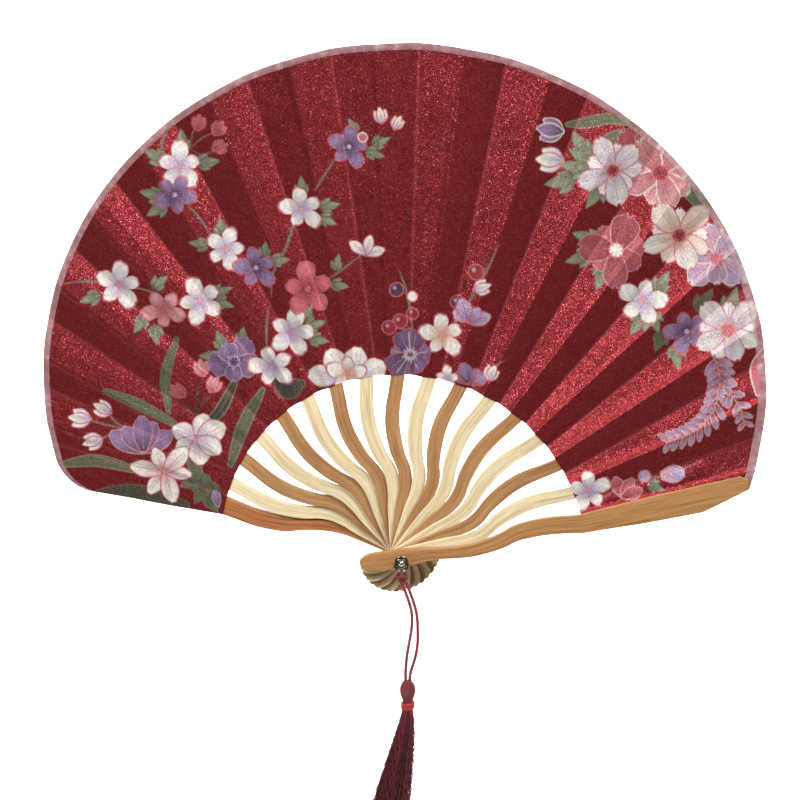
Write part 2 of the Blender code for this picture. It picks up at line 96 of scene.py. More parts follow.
ELLIPSE_HALF_WIDTH, ELLIPSE_HALF_HEIGHT, ELLIPSE_ABOVE_RIVET = 0.1474, 0.1404, 0.0695
LEAF_THICKNESS = 0.0002
LEAF_END_ANGLE, FRONT_END_ANGLE, CORNER_RADIUS = 2.7, 0.0, 0.0110
RIB_SHORT_OF_EDGE = 0.0090
LEAF_AT_RIB, LEAF_AT_FRONT_GUARD, LEAF_AT_REAR_GUARD = -0.00045, -0.01155, 0.0109
RIB_UNDER_LEAF = (-0.00025, 0.00010)
GLUE_GAP = 0.0001
PLEAT_RADIUS = 0.2000
UPPER_FOLD_INNER, LOWER_FOLD_INNER = 0.0034, 0.0046
PLEAT_ANGLE, UPPER_FOLD_ANGLE, UPPER_FOLD_DRIFT = 4.75, 0.6, 0.13
STRIP_EDGE, GUARD_STRIP_EDGE = (0.0034, 0.0026), (0.0044, 0.0066)
BORE_RADIUS = 0.0013

# What the detailed pieces add.
CLOTH_STEP = 0.00036  # between points of the cloth
BACK_EVERY = 4  # the back of the cloth has every fourth of them
RIDGE_HIGHLIGHT_WIDTH = 0.00055  # the width of the painted highlight along each fold that stands out
CREASE = 0.0004  # how far from a fold the cloth is rounded
RIDGE_HEIGHT, VALLEY_DEPTH = 0.00012, 0.00010  # how far a rounded fold is from a sharp one
PANEL_WIDTH, END_PANEL_WIDTH, PANEL_LENGTH = 0.0180, 0.0215, 0.125  # about, for the number of points
PLEAT_SAG, DENT_DEPTH, WRINKLE_HEIGHT = 0.00085, 0.00026, 0.00007
BINDING_WIDTH, BINDING_WIDTH_RIGHT = 0.0027, 0.0038
# The folded binding's section: shares of its width out from the leaf's edge, and millimetres to the back.
BINDING_SECTION = (
    (-1.0, -0.16), (-0.97, -0.26), (-0.5, -0.27), (-0.06, -0.29), (0.0, -0.26), (0.03, -0.16), (0.045, 0.0),
    (0.03, 0.16), (0.0, 0.26), (-0.06, 0.29), (-0.5, 0.27), (-0.97, 0.26), (-1.0, 0.16), (-1.0, 0.11),
    (-0.01, 0.11), (-0.01, -0.11), (-1.0, -0.11),
)
BLADE_EDGE = 0.00032  # the rounding of a blade's edges
EDGE_WEAR = 0.0004  # how far in from a blade's edges its wear fades
FIBRE_LENGTH, FIBRE_WIDTH, FIBRE_DEPTH = 0.028, 0.00085, 0.0011

# Colours of the print, as light reflected (linear RGB).
CRIMSON = (0.215, 0.0150, 0.0185)
CREAM = (0.60, 0.57, 0.52)
PINKISH = (0.48, 0.22, 0.23)
PEACH = (0.50, 0.26, 0.17)
LAVENDER = (0.34, 0.26, 0.38)
PURPLE = (0.150, 0.080, 0.175)
PLUM = (0.050, 0.018, 0.048)
DUSKY = (0.32, 0.075, 0.085)
ROSE = (0.42, 0.095, 0.115)
SAGE = (0.155, 0.175, 0.110)
OLIVE = (0.075, 0.085, 0.040)
DARK_LEAF = (0.030, 0.034, 0.020)
STEM = (0.115, 0.100, 0.078)
DEEP_RED = (0.20, 0.008, 0.018)


def body_name(k):
    return {0: "rear_guard", FRONT: "front_guard"}.get(k, f"rib_{k:02d}")


def blade_angle(k):
    steps = (OPEN_STEP - STEP_LOSS * math.exp(1 - j) for j in range(k + 1, BLADES))
    return FRONT_GUARD_ANGLE + sum(steps)


def level(k):
    return (FRONT / 2 - k) * LEVEL_PITCH


def pleat_slope(k):
    return 0.0 if k in (0, FRONT) else min(0.08 + 0.013 * k, 0.105 * (FRONT - k))


def free_slope(k):
    return min(0.36 - 0.007 * k, 0.04 + 0.075 * k)


def leaf_level(k):
    return {0: LEAF_AT_REAR_GUARD, FRONT: LEAF_AT_FRONT_GUARD}.get(k, level(k) + LEAF_AT_RIB)


def spread(inner, outer, r):
    return inner + (outer - inner) * (r - LEAF_INNER) / (PLEAT_RADIUS - LEAF_INNER)


def upper_fold(k, r):
    angle = UPPER_FOLD_ANGLE + UPPER_FOLD_DRIFT * k
    return spread(UPPER_FOLD_INNER, PLEAT_RADIUS * math.sin(math.radians(angle)), r)


def strip_edge(k, r):
    return -spread(*(GUARD_STRIP_EDGE if k == 0 else STRIP_EDGE), r)


def lower_fold(k, r):
    angle = PLEAT_ANGLE - UPPER_FOLD_ANGLE - UPPER_FOLD_DRIFT * k
    return -spread(LOWER_FOLD_INNER, PLEAT_RADIUS * math.sin(math.radians(angle)), r)


def leaf_depth(k, sideways, r):
    """The depth of blade k's glued panel, for arrays of sideways distances and radii."""
    edge = strip_edge(k, r)
    strip = leaf_level(k) - pleat_slope(k) * np.maximum(sideways, edge)
    return strip + free_slope(k) * np.maximum(edge - sideways, 0)


def leaf_outer(angle):
    """The distance from the rivet to the leaf's elliptical outer edge, for an array of angles."""
    u, v = np.cos(np.radians(angle)), np.sin(np.radians(angle))
    a = (u / ELLIPSE_HALF_WIDTH) ** 2 + (v / ELLIPSE_HALF_HEIGHT) ** 2
    b = -2 * v * ELLIPSE_ABOVE_RIVET / ELLIPSE_HALF_HEIGHT**2
    c = (ELLIPSE_ABOVE_RIVET / ELLIPSE_HALF_HEIGHT) ** 2 - 1
    return (-b + np.sqrt(b * b - 4 * a * c)) / (2 * a)


def rounded_end(angle):
    edge = leaf_outer(angle)
    to_end = np.radians(blade_angle(0) + LEAF_END_ANGLE - angle) * edge
    near = np.clip(to_end, 0, CORNER_RADIUS)
    return edge - CORNER_RADIUS + np.sqrt(near * (2 * CORNER_RADIUS - near))


def ramp(value, start, end):
    t = np.clip((value - start) / (end - start), 0, 1)
    return t * t * (3 - 2 * t)


def smooth(points, x):
    """The smooth curve through points at an array x, as in the CAD part."""
    xs, ys = np.array(points, float).T
    slopes = np.gradient(ys, xs)
    i = np.clip(np.searchsorted(xs, x) - 1, 0, len(xs) - 2)
    width = xs[i + 1] - xs[i]
    t = (x - xs[i]) / width
    return (
        ys[i] * (1 + 2 * t) * (1 - t) ** 2
        + slopes[i] * width * t * (1 - t) ** 2
        + ys[i + 1] * t * t * (3 - 2 * t)
        + slopes[i + 1] * width * t * t * (t - 1)
    )


# ---------------------------------------------------------------- meshes


def add_mesh(name, points, faces, look, smooth_to=None, **attributes):
    """An object of that mesh. faces is a list of index arrays, one row per face. Edges sharper than smooth_to
    degrees stay sharp. attributes are point values: one number, three (a vector) or four (a colour) each."""
    data = bpy.data.meshes.new(name)
    loops = np.concatenate([np.asarray(f, np.int32).ravel() for f in faces])
    sizes = np.concatenate([np.full(len(f), np.asarray(f).shape[1], np.int32) for f in faces])
    data.vertices.add(len(points))
    data.vertices.foreach_set("co", np.asarray(points, np.float32).ravel())
    data.loops.add(len(loops))
    data.loops.foreach_set("vertex_index", loops)
    data.polygons.add(len(sizes))
    data.polygons.foreach_set("loop_start", np.concatenate([[0], np.cumsum(sizes)[:-1]]).astype(np.int32))
    data.update(calc_edges=True)
    data.validate()
    for key, value in attributes.items():
        value = np.asarray(value, np.float32)
        kind, field = {1: ("FLOAT", "value"), 2: ("FLOAT_VECTOR", "vector")}[value.ndim]
        if value.ndim == 2 and value.shape[1] == 4:
            kind, field = "FLOAT_COLOR", "color"
        layer = data.attributes.new(key, kind, "POINT")
        layer.data.foreach_set(field, value.ravel())
    data.materials.append(look)
    data.shade_smooth()
    if smooth_to is not None:
        data.set_sharp_from_angle(angle=math.radians(smooth_to))
    made = bpy.data.objects.new(name, data)
    bpy.context.scene.collection.objects.link(made)
    return made


def wall(rows, sides, closed=False, flip=False):
    """Quads between rings of points. closed joins the last ring to the first. flip turns the faces round."""
    i, j = np.meshgrid(np.arange(rows if closed else rows - 1), np.arange(sides), indexing="ij")
    here, there = i * sides, (i + 1) % rows * sides
    a, b, c, d = here + j, here + (j + 1) % sides, there + (j + 1) % sides, there + j
    return np.stack([a, d, c, b] if flip else [a, b, c, d], -1).reshape(-1, 4)


def end_faces(rows, sides):
    """The two faces that close a flipped wall's ends."""
    last = (rows - 1) * sides
    return np.array([[*range(sides)], [*range(last + sides - 1, last - 1, -1)]])


def run_along(line):
    """The distance of each point of a line from its start, along it."""
    return np.concatenate([[0], np.cumsum(np.linalg.norm(np.diff(line, axis=0), axis=1))])


def frame_along(line):
    """Rows of unit vectors along a line: (tangent, side, up)."""
    tangent = np.gradient(line, axis=0)
    tangent /= np.linalg.norm(tangent, axis=1)[:, None]
    side = np.cross(tangent, (0.0, 1.0, 0.0))
    weak = np.linalg.norm(side, axis=1) < 0.05
    side[weak] = np.cross(tangent[weak], (1.0, 0.0, 0.0))
    side /= np.linalg.norm(side, axis=1)[:, None]
    return tangent, side, np.cross(tangent, side)


def tube(line, radius, sides, turn=0.0):
    """(points, quads, caps) of a round tube with closed ends along line. radius may be an array."""
    count = len(line)
    radius = np.broadcast_to(radius, count)
    tangent, side, up = frame_along(line)
    angles = turn + np.linspace(0, 2 * math.pi, sides, endpoint=False)
    ring = np.cos(angles)[None, :, None] * side[:, None] + np.sin(angles)[None, :, None] * up[:, None]
    points = (line[:, None] + ring * radius[:, None, None]).reshape(-1, 3)
    start_pole = line[:1] - tangent[:1] * radius[0] * 0.5
    end_pole = line[-1:] + tangent[-1:] * radius[-1] * 0.5
    j, last = np.arange(sides), (count - 1) * sides
    caps = np.concatenate([
        np.stack([np.full(sides, count * sides), (j + 1) % sides, j], -1),
        np.stack([np.full(sides, count * sides + 1), last + j, last + (j + 1) % sides], -1),
    ])
    return np.concatenate([points, start_pole, end_pole]), wall(count, sides), caps


def joined(tubes):
    """(points, faces) of several tubes together."""
    points, quads, caps, start = [], [], [], 0
    for p, q, c in tubes:
        points.append(p)
        quads.append(q + start)
        caps.append(c + start)
        start += len(p)
    return np.concatenate(points), [np.concatenate(quads), np.concatenate(caps)]


def turned(profile, sides, middle=(0, 0, 0), axis="Y", closed=False):
    """(points, faces) of a profile of (along, radius) turned about an axis. An open profile runs from pole to
    pole. A closed one doesn't meet the axis, such as that of a rolled rim."""
    along, radius = np.array(profile, float).T
    angles = np.linspace(0, 2 * math.pi, sides, endpoint=False)
    a, b = radius[:, None] * np.cos(angles), radius[:, None] * np.sin(angles)
    h = np.repeat(along[:, None], sides, 1)
    parts = (a, h, -b) if axis == "Y" else (a, b, h)
    points = np.stack(parts, -1).reshape(-1, 3) + np.array(middle)
    faces = [wall(len(profile), sides, closed)]
    if not closed:
        last = (len(profile) - 1) * sides + np.arange(sides)
        faces += [np.arange(sides)[None, ::-1], last[None]]
    return points, faces


# ---------------------------------------------------------------- the print


SOFT_EDGE = 0.22  # the half width of an edge of the dye, in millimetres


class Print:
    """Paints motifs on points of the opened leaf. x, z and sizes are in millimetres."""

    def __init__(self, x, z):
        self.x, self.z = x, z
        self.colour = np.tile(np.array(CRIMSON), (len(x), 1))
        self.ink = np.zeros(len(x))

    def near(self, x, z, reach):
        return np.nonzero((np.abs(self.x - x) < reach) & (np.abs(self.z - z) < reach))[0]

    def lay(self, at, share, colour):
        share = np.clip(share, 0, 1)
        keep = 1 - share[:, None]
        self.colour[at] = self.colour[at] * keep + np.asarray(colour) * share[:, None]
        self.ink[at] = np.maximum(self.ink[at] * (1 - share), share)

    def petal(
        self, x, z, turn, length, width, colours, outline=ROSE, point=0.5, base=0.0, rim=0.45, notch=0.0
    ):
        """A petal or leaf whose foot is at (x, z). point is where along it is widest, base the share of its
        width that its foot has, rim the width of its outline, and notch the depth of the cut in its tip."""
        at = self.near(x, z, length + 2)
        if not len(at):
            return
        c, s = math.cos(turn), math.sin(turn)
        dx, dz = self.x[at] - x, self.z[at] - z
        u, v = (dx * c + dz * s) / length, -dx * s + dz * c
        t = np.clip(u, 0, 1)
        bend = np.where(t < point, t / point, (1 - t) / (1 - point))
        half = width / 2 * (base + (1 - base) * np.sin(np.clip(bend, 0, 1) * math.pi / 2) ** 0.9)
        out = np.maximum(np.abs(v) - half, np.maximum(-u, u - 1) * length)
        if notch:
            out = np.maximum(out, notch - np.hypot((u - 1.0) * length, v))
        self.lay(at, edge(out - rim), outline)
        inner, outer, vein = colours
        body = between(inner, outer, np.clip(t * 1.5, 0, 1)[:, None])
        shade = 1 - 0.16 * np.cos(v / max(width, 1) * 9 + t * 3) * t
        inside = edge(out)
        self.lay(at, inside, body * shade[:, None])
        if vein is not None:
            lines = edge(np.abs(v) - 0.14) * (t > 0.08) * (t < 0.86) * 0.75
            side = edge(np.abs(np.abs(v) - half * 0.5 * np.sqrt(t)) - 0.10) * (t > 0.25) * (t < 0.8) * 0.35
            self.lay(at, np.maximum(lines, side) * inside, vein)

    def blossom(self, x, z, radius, turn, colours):
        """A small open blossom of five blunt lobes with a pale or dark throat."""
        petals = 5
        inner, outer, vein = colours
        at = self.near(x, z, radius * 1.3 + 2)
        if not len(at):
            return
        dx, dz = self.x[at] - x, self.z[at] - z
        around, r = np.arctan2(dz, dx) - turn, np.hypot(dx, dz)
        lobe = np.abs(np.cos(petals * around / 2))
        which = np.round(petals * around / (2 * math.pi)) % petals
        size = radius * (1 + 0.13 * np.sin(which * 2.4 + x))
        ragged = 0.022 * np.sin(around * 11 + z) + 0.012 * np.sin(around * 23 + x)
        out = (r / (size * (0.50 + 0.52 * lobe**0.75 + ragged)) - 1) * radius * 0.8
        self.lay(at, edge(np.abs(out - 0.30) - 0.28), ROSE)
        t = np.clip(r / radius, 0, 1)[:, None]
        body = between(inner, outer, np.clip(t * 1.7 - 0.25, 0, 1))
        shade = 1 - 0.22 * (1 - lobe[:, None]) - 0.10 * np.sin(around * 11 + r * 1.7)[:, None] * t
        inside = edge(out)
        self.lay(at, inside, body * shade)
        gap = edge(np.abs(np.sin(petals * around / 2 + math.pi / 2)) * r - 0.22) * (r > radius * 0.2)
        middle = edge(np.abs(np.sin(petals * around / 2)) * r - 0.12) * (r < radius * 0.62) * 0.35
        self.lay(at, np.maximum(gap * 0.55, middle) * inside, vein)
        self.dot(x, z, radius * 0.13, vein)

    def flower(self, x, z, radius, petals, turn, colours, centre, outline=ROSE, wide=0.68, notch=0.1):
        """A large open flower of separate petals round a dotted centre."""
        inner, outer, vein = colours
        width = wide * 2.35 * radius * math.sin(math.pi / petals)
        for i in (*range(0, petals, 2), *range(1, petals, 2)):
            a = turn + 2 * math.pi * i / petals + 0.10 * math.sin(i * 5.1 + x)
            size = radius * (1 - 0.17 * math.sin(i * 2.9 + z))
            tone = 1 - 0.16 * (i % 2)
            tint = 0.35 * (0.5 + 0.5 * math.sin(i * 3.7 + x))
            far = np.asarray(outer) * (1 - tint) + np.asarray(inner) * tint
            shades = (np.asarray(inner) * tone, far * tone, vein)
            breadth = width * size / radius * (1 + 0.12 * math.sin(i * 4.3 + z))
            self.petal(x, z, a, size, breadth, shades, outline, 0.70, 0.22, 0.4, notch * breadth)
        heart, ring, dots = centre
        self.dot(x, z, radius * 0.20, heart, ring)
        for i in range(dots):
            a = turn + 2 * math.pi * (i + 0.5) / dots
            reach = radius * (0.30 + 0.06 * math.sin(i * 2.3))
            ends = (0.45 * reach, reach)
            line = [(x + out * math.cos(a), z + out * math.sin(a)) for out in ends]
            self.stroke(line, 0.35, vein, taper=False)
            self.dot(*line[1], 0.34, ring)

    def lily(self, x, z, turn, length, petals, opened, colours, outline=ROSE, wide=0.5):
        """Pointed petals that fan out from (x, z) round the direction turn, opened so far, in degrees."""
        for i in sorted(range(petals), key=lambda i: -abs(i - (petals - 1) / 2)):
            a = math.radians(turn + opened * ((i + 0.5) / petals - 0.5) + 5 * math.sin(i * 2.7 + x))
            size = length * (1 - 0.14 * math.sin(i * 3.3 + z))
            self.petal(x, z, a, size, size * wide, colours, outline, 0.60, 0.25)

    def dot(self, x, z, radius, colour, rim=None, shine=None):
        at = self.near(x, z, radius + 2)
        if not len(at):
            return
        out = np.hypot(self.x[at] - x, self.z[at] - z) - radius
        if rim is not None:
            self.lay(at, edge(out - 0.5), rim)
        self.lay(at, edge(out), colour)
        if shine is not None:
            spot = np.hypot(self.x[at] - x + radius * 0.3, self.z[at] - z - radius * 0.3) - radius * 0.3
            self.lay(at, edge(spot) * 0.8, shine)

    def berry(self, x, z, radius, colour):
        self.dot(x, z, radius, colour, ROSE, np.asarray(colour) * 0.5 + np.asarray(CREAM) * 0.5)

    def leaves(self, *places):
        for place in places:
            self.leaf(*place)

    def stroke(self, route, width, colour, outline=None, taper=True, vein=None):
        """A stem or a blade of grass along a smooth route of (x, z) places."""
        line = np.stack(curve(route, np.linspace(0, 1, 14)), -1)
        middle, reach = line.mean(0), np.ptp(line, axis=0).max() + width + 2
        at = self.near(*middle, reach)
        if not len(at):
            return
        x, z = self.x[at], self.z[at]
        best, along = np.full(len(at), 1e9), np.zeros(len(at))
        for i in range(len(line) - 1):
            (x0, z0), (x1, z1) = line[i], line[i + 1]
            dx, dz = x1 - x0, z1 - z0
            t = np.clip(((x - x0) * dx + (z - z0) * dz) / (dx * dx + dz * dz), 0, 1)
            d = np.hypot(x - x0 - t * dx, z - z0 - t * dz)
            closer = d < best
            best = np.where(closer, d, best)
            along = np.where(closer, (i + t) / (len(line) - 1), along)
        half = width / 2 * (np.sin(math.pi * (0.06 + 0.88 * along)) ** 0.7 if taper else 1)
        if outline is not None:
            self.lay(at, edge(best - half - 0.5), outline)
        self.lay(at, edge(best - half), np.asarray(colour) * (0.88 + 0.24 * along)[:, None])
        if vein is not None:
            self.lay(at, edge(best - 0.16) * 0.7 * edge(best - half), vein)

    def leaf(self, x, z, turn, length=9.5, width=4.6, colour=SAGE, outline=STEM):
        """A leaf of three lobes centred on (x, z) that points in the direction turn, in degrees."""
        a = math.radians(turn)
        foot = foot_of(x, z, a, length)
        tone = np.asarray(colour)
        for lean, share in ((0.62, 0.66), (-0.55, 0.60), (0.0, 1.0)):
            colours = (tone * 0.45, tone * (0.8 + 0.2 * share), np.minimum(tone * 1.6, 0.5))
            breadth = width * share**0.5 * 0.85
            self.petal(*foot, a + lean, length * share, breadth, colours, outline, 0.45, 0.0, 0.2)

    def bud(self, x, z, turn, length, width, colours, outline=ROSE):
        """A closed bud of three pointed petals that opens in the direction turn, in degrees."""
        a = math.radians(turn)
        foot = foot_of(x, z, a, length)
        for lean, share in ((0.42, 0.88), (-0.42, 0.88), (0.0, 1.0)):
            self.petal(*foot, a + lean, length * share, width * 0.62, colours, outline, 0.5, 0.1)

    def spray(self, route, colour, leaflet, spacing, outline):
        """A fern-like stem with outlined leaflets on both sides."""
        self.stroke(route, 0.9, colour, taper=False)
        share = np.linspace(0.04, 0.98, int(run_along(np.array(route, float))[-1] / spacing))
        x, z = curve(route, share)
        heading = np.arctan2(np.gradient(z), np.gradient(x))
        colours = (DEEP_RED, np.asarray(LAVENDER) * 0.7, None)
        for i in range(len(share)):
            size = leaflet * (1 - 0.35 * share[i])
            for side in (-0.85, 0.85):
                way = heading[i] + side
                self.petal(x[i], z[i], way, size, size * 0.36, colours, outline, 0.62, 0.25, 0.42)


def edge(out):
    """1 inside and 0 outside, with a narrow soft edge. out is in millimetres."""
    return np.clip(0.5 - out / (2 * SOFT_EDGE), 0, 1)


def foot_of(x, z, a, length):
    """The foot of a motif that is centred on (x, z) and points in the direction a, in radians."""
    return x - length / 2 * math.cos(a), z - length / 2 * math.sin(a)


def between(first, second, share):
    return np.asarray(first) + (np.asarray(second) - np.asarray(first)) * share


def curve(route, share):
    """[x, z] of the smooth curve through a route of (x, z) places, at shares of its places."""
    line = np.array(route, float)
    at_share = np.linspace(0, 1, len(line))
    return [smooth(list(zip(at_share, line[:, i])), share) for i in (0, 1)]


WHITE_LOOK = (LAVENDER, CREAM, PINKISH)
WARM_WHITE = (PEACH, CREAM, PINKISH)
PURPLE_LOOK = (PLUM, (0.20, 0.125, 0.23), LAVENDER)
LILAC_LOOK = (PINKISH, LAVENDER, PURPLE)
DUSKY_LOOK = (DEEP_RED, DUSKY, ROSE)
PINK_LOOK = (DUSKY, PINKISH, DUSKY)


def paint_left(p):
    """The branch of small flowers up the left of the leaf."""
    p.stroke([(-86, 145), (-81, 139), (-77, 133)], 1.0, STEM)
    p.stroke([(-95, 165), (-96, 170), (-94, 174)], 1.0, STEM)
    for x, z in ((-81, 177), (-73, 175), (-73, 168)):
        p.stroke([(-85, 167), ((x - 86) / 2, z - 3), (x, z)], 0.6, STEM)
    p.leaves((-88, 170.5, 95), (-99, 165, 150), (-77.5, 162, 10), (-101, 149, 170), (-99, 142.5, 215))
    p.blossom(-89, 160.5, 8.6, 0.3, WHITE_LOOK)
    for x, z, turn in ((-81, 178, 85), (-73, 176, 55), (-72.5, 168.5, 20)):
        p.bud(x, z, turn, 6.0, 4.6, DUSKY_LOOK)
    p.blossom(-91, 149, 7.8, 1.1, PURPLE_LOOK)
    p.leaves((-73, 136, 100, 7, 3.6), (-82, 129, 175, 8, 3.8))
    p.blossom(-71, 127, 7.8, 0.0, WHITE_LOOK)
    p.stroke([(-44, 137), (-47, 127), (-52, 117), (-53, 107)], 1.1, STEM)
    p.leaves((-49, 122.5, 5, 7.5, 3.6), (-55, 127, 85, 6.5, 3.4))
    p.blossom(-59, 119, 8.0, 0.5, PURPLE_LOOK)
    p.stroke([(-139, 112), (-128, 113), (-118, 112), (-106, 110), (-98, 108)], 1.0, STEM)
    p.leaves((-127, 106, 200, 8.5, 4), (-98, 113, 40, 8, 3.8))
    p.blossom(-115, 111.5, 9.0, 0.2, WHITE_LOOK)
    p.leaves((-107, 95, 235, 8, 4), (-100.5, 90.5, 275, 8, 4))
    p.blossom(-97, 101.5, 8.0, 0.9, PINK_LOOK)
    p.leaves((-72.5, 109.5, 25, 8, 3.6), (-72, 104, -15, 8, 3.6))
    p.blossom(-82, 105, 8.8, 0.7, WHITE_LOOK)


def paint_lower_left(p):
    """Lilies, grass and buds at the lower left."""
    p.stroke([(-51, 72), (-47, 69), (-41, 71)], 9.0, DARK_LEAF, STEM)
    p.stroke([(-92, 89), (-97, 73), (-96, 58)], 3.6, OLIVE, STEM, vein=SAGE)
    p.stroke([(-122, 67), (-108, 61), (-92, 52)], 4.0, OLIVE, STEM, vein=SAGE)
    p.stroke([(-57, 68), (-65, 53), (-71, 35)], 4.6, OLIVE, SAGE, vein=SAGE)
    p.stroke([(-68, 72), (-74, 60), (-81, 52)], 3.8, DARK_LEAF, SAGE, vein=SAGE)
    p.stroke([(-141, 35), (-126, 36.5), (-109, 32)], 4.4, OLIVE, SAGE, vein=SAGE)
    p.stroke([(-128, 21.5), (-110, 21), (-90, 17)], 9.5, DARK_LEAF, OLIVE, vein=OLIVE)
    p.stroke([(-86, 42), (-86, 36), (-84, 29)], 5.0, OLIVE, SAGE, vein=SAGE)
    p.stroke([(-84, 63), (-85, 59), (-85, 53)], 0.9, DARK_LEAF)
    for x, z in ((-82, 74), (-78, 68), (-91, 65)):
        p.stroke([(-85, 56), ((x - 85) / 2, z - 6), (x, z - 2)], 0.8, DARK_LEAF)
    p.bud(-82, 77, 100, 7.0, 5.4, PINK_LOOK)
    p.bud(-77, 70, 60, 7.0, 5.0, PINK_LOOK)
    p.bud(-92, 67, 140, 7.0, 5.0, DUSKY_LOOK)
    for x, z in ((-131, 55), (-121, 57), (-125, 46)):
        p.stroke([(-113, 50), (x / 2 - 58, z / 2 + 25), (x, z)], 0.9, STEM)
    p.bud(-133, 55, 175, 9.0, 6.6, WHITE_LOOK)
    p.bud(-123.5, 59, 150, 8.0, 6.0, WHITE_LOOK)
    p.bud(-128, 45, 200, 8.5, 6.4, WHITE_LOOK)
    p.lily(-107, 41, 95, 14.0, 5, 150, PURPLE_LOOK, PINKISH, 0.52)
    p.lily(-84, 47, -60, 11.5, 6, 330, WHITE_LOOK, ROSE, 0.74)
    tuft = ((-88, 27, 200), (-84, 29, 150), (-80, 26, 120), (-84, 22, 240), (-78, 22, 60), (-79, 18, 300))
    for x, z, turn in tuft:
        p.leaf(x, z, turn, 9, 5.4, OLIVE, SAGE)
    p.lily(-98.5, 32, 20, 12.5, 6, 360, (PINKISH, CREAM, DUSKY), ROSE, 0.50)
    p.dot(-98.5, 32, 1.2, PEACH)
    p.petal(-76.5, 17, 1.75, 6.5, 3.0, PURPLE_LOOK, LAVENDER, 0.6, 0.2)
    p.leaves((-74, 89, 110, 8, 4), (-79, 82, 180, 8, 4), (-65, 91, 80, 7, 3.6))
    p.stroke([(-54, 103), (-55, 95), (-55, 86)], 1.0, STEM)
    p.flower(-68.5, 80, 9.4, 5, 0.9, PURPLE_LOOK, (PLUM, LAVENDER, 6), LAVENDER, 0.66)
    p.blossom(-53, 78, 8.6, 0.6, WHITE_LOOK)
    p.leaves((-35, 96, 15, 8.5, 4), (-33.5, 89.5, -10, 8, 3.8), (-38, 101, 60, 7, 3.6))
    p.blossom(-44.5, 92.5, 9.2, 0.1, WHITE_LOOK)


def paint_top(p):
    """The loose branch across the top and the middle."""
    p.stroke([(-26.5, 164), (-31, 157), (-35, 151)], 1.0, STEM)
    p.stroke([(-43, 138), (-45, 132), (-47, 126)], 1.0, STEM)
    p.leaves((-19.5, 177, 120, 6.5, 3.2), (-8, 171, 25, 7.5, 3.4), (-10.5, 166, -15, 7.5, 3.4))
    p.bud(-8.3, 181.5, 100, 6.0, 4.6, WHITE_LOOK)
    p.bud(-1.6, 178.5, 60, 5.5, 4.2, WHITE_LOOK)
    p.blossom(-21, 168.5, 7.6, 0.2, PURPLE_LOOK)
    p.dot(-15.5, 172.5, 1.6, ROSE, CREAM)
    p.leaves((-40, 153, 95, 7.5, 3.6), (-28.5, 145, 10, 8, 3.6), (-29.5, 139, -25, 7.5, 3.4))
    p.blossom(-40, 143.5, 8.2, 0.5, WHITE_LOOK)
    p.stroke([(-31.7, 113.7), (-24, 119), (-16, 125)], 0.9, STEM)
    p.leaves((-26, 122, 75, 6.5, 3.2), (-25, 112.5, -10, 7.5, 3.4))
    for turn in (20, 75, 140):
        p.petal(-14.5, 125, math.radians(turn), 8.0, 3.8, WHITE_LOOK, ROSE, 0.6, 0.2)
    p.blossom(-38, 110.5, 9.6, 0.4, (DEEP_RED, ROSE, DUSKY))
    for x, turn, size in ((-31, 175, 12), (-25, 120, 13), (-18, 80, 13), (-12, 30, 12)):
        p.petal(x * 0.45 - 12, 74, math.radians(turn), size, 9, WHITE_LOOK, ROSE, 0.62, 0.3)
    p.blossom(-22, 75.5, 7.5, 0.3, WARM_WHITE)


def paint_middle(p):
    """Berries and small flowers above the inner edge, right of the middle."""
    p.stroke([(-1, 119), (2, 110), (5, 92)], 1.0, STEM)
    for x, z in ((-2, 111), (3.5, 108), (3, 101), (0, 97.5), (-4, 96)):
        p.stroke([(3.5, z - 3), ((x + 3.5) / 2, z - 1), (x, z)], 0.6, STEM)
    p.berry(-2, 111, 2.6, PLUM)
    p.dot(4.4, 108, 1.9, CREAM, ROSE)
    p.berry(4.4, 101, 2.1, DEEP_RED)
    p.berry(-0.6, 98, 2.7, DEEP_RED)
    p.berry(-5, 95.5, 2.6, DEEP_RED)
    p.flower(3.5, 84, 9.2, 5, 0.3, (PLUM, PURPLE, CREAM), (PLUM, LAVENDER, 13), ROSE, 0.84, 0.0)
    p.blossom(16.5, 92.5, 8.4, 0.4, WARM_WHITE)
    p.stroke([(39, 130), (34, 119), (27, 106), (21, 97)], 1.1, STEM)
    p.berry(30, 118.5, 2.9, DEEP_RED)
    p.bud(32.5, 112.5, 20, 7.0, 5.0, WHITE_LOOK)
    p.berry(22.5, 106, 2.5, PLUM)
    p.lily(27, 98.5, 80, 8.0, 4, 190, (PURPLE, LAVENDER, PLUM), ROSE, 0.62)
    p.stroke([(31, 76), (36, 79), (42, 83)], 0.9, STEM)
    p.lily(27, 73, 80, 7.5, 4, 170, PURPLE_LOOK, ROSE, 0.62)
    p.bud(36.5, 77.5, 60, 6.5, 5.0, WHITE_LOOK)
    p.blossom(18.5, 74.5, 4.6, 0.3, WHITE_LOOK)
    p.bud(59, 176, 170, 10.5, 8.2, PURPLE_LOOK, CREAM)
    p.bud(59, 164, 175, 11.0, 9.0, WHITE_LOOK)


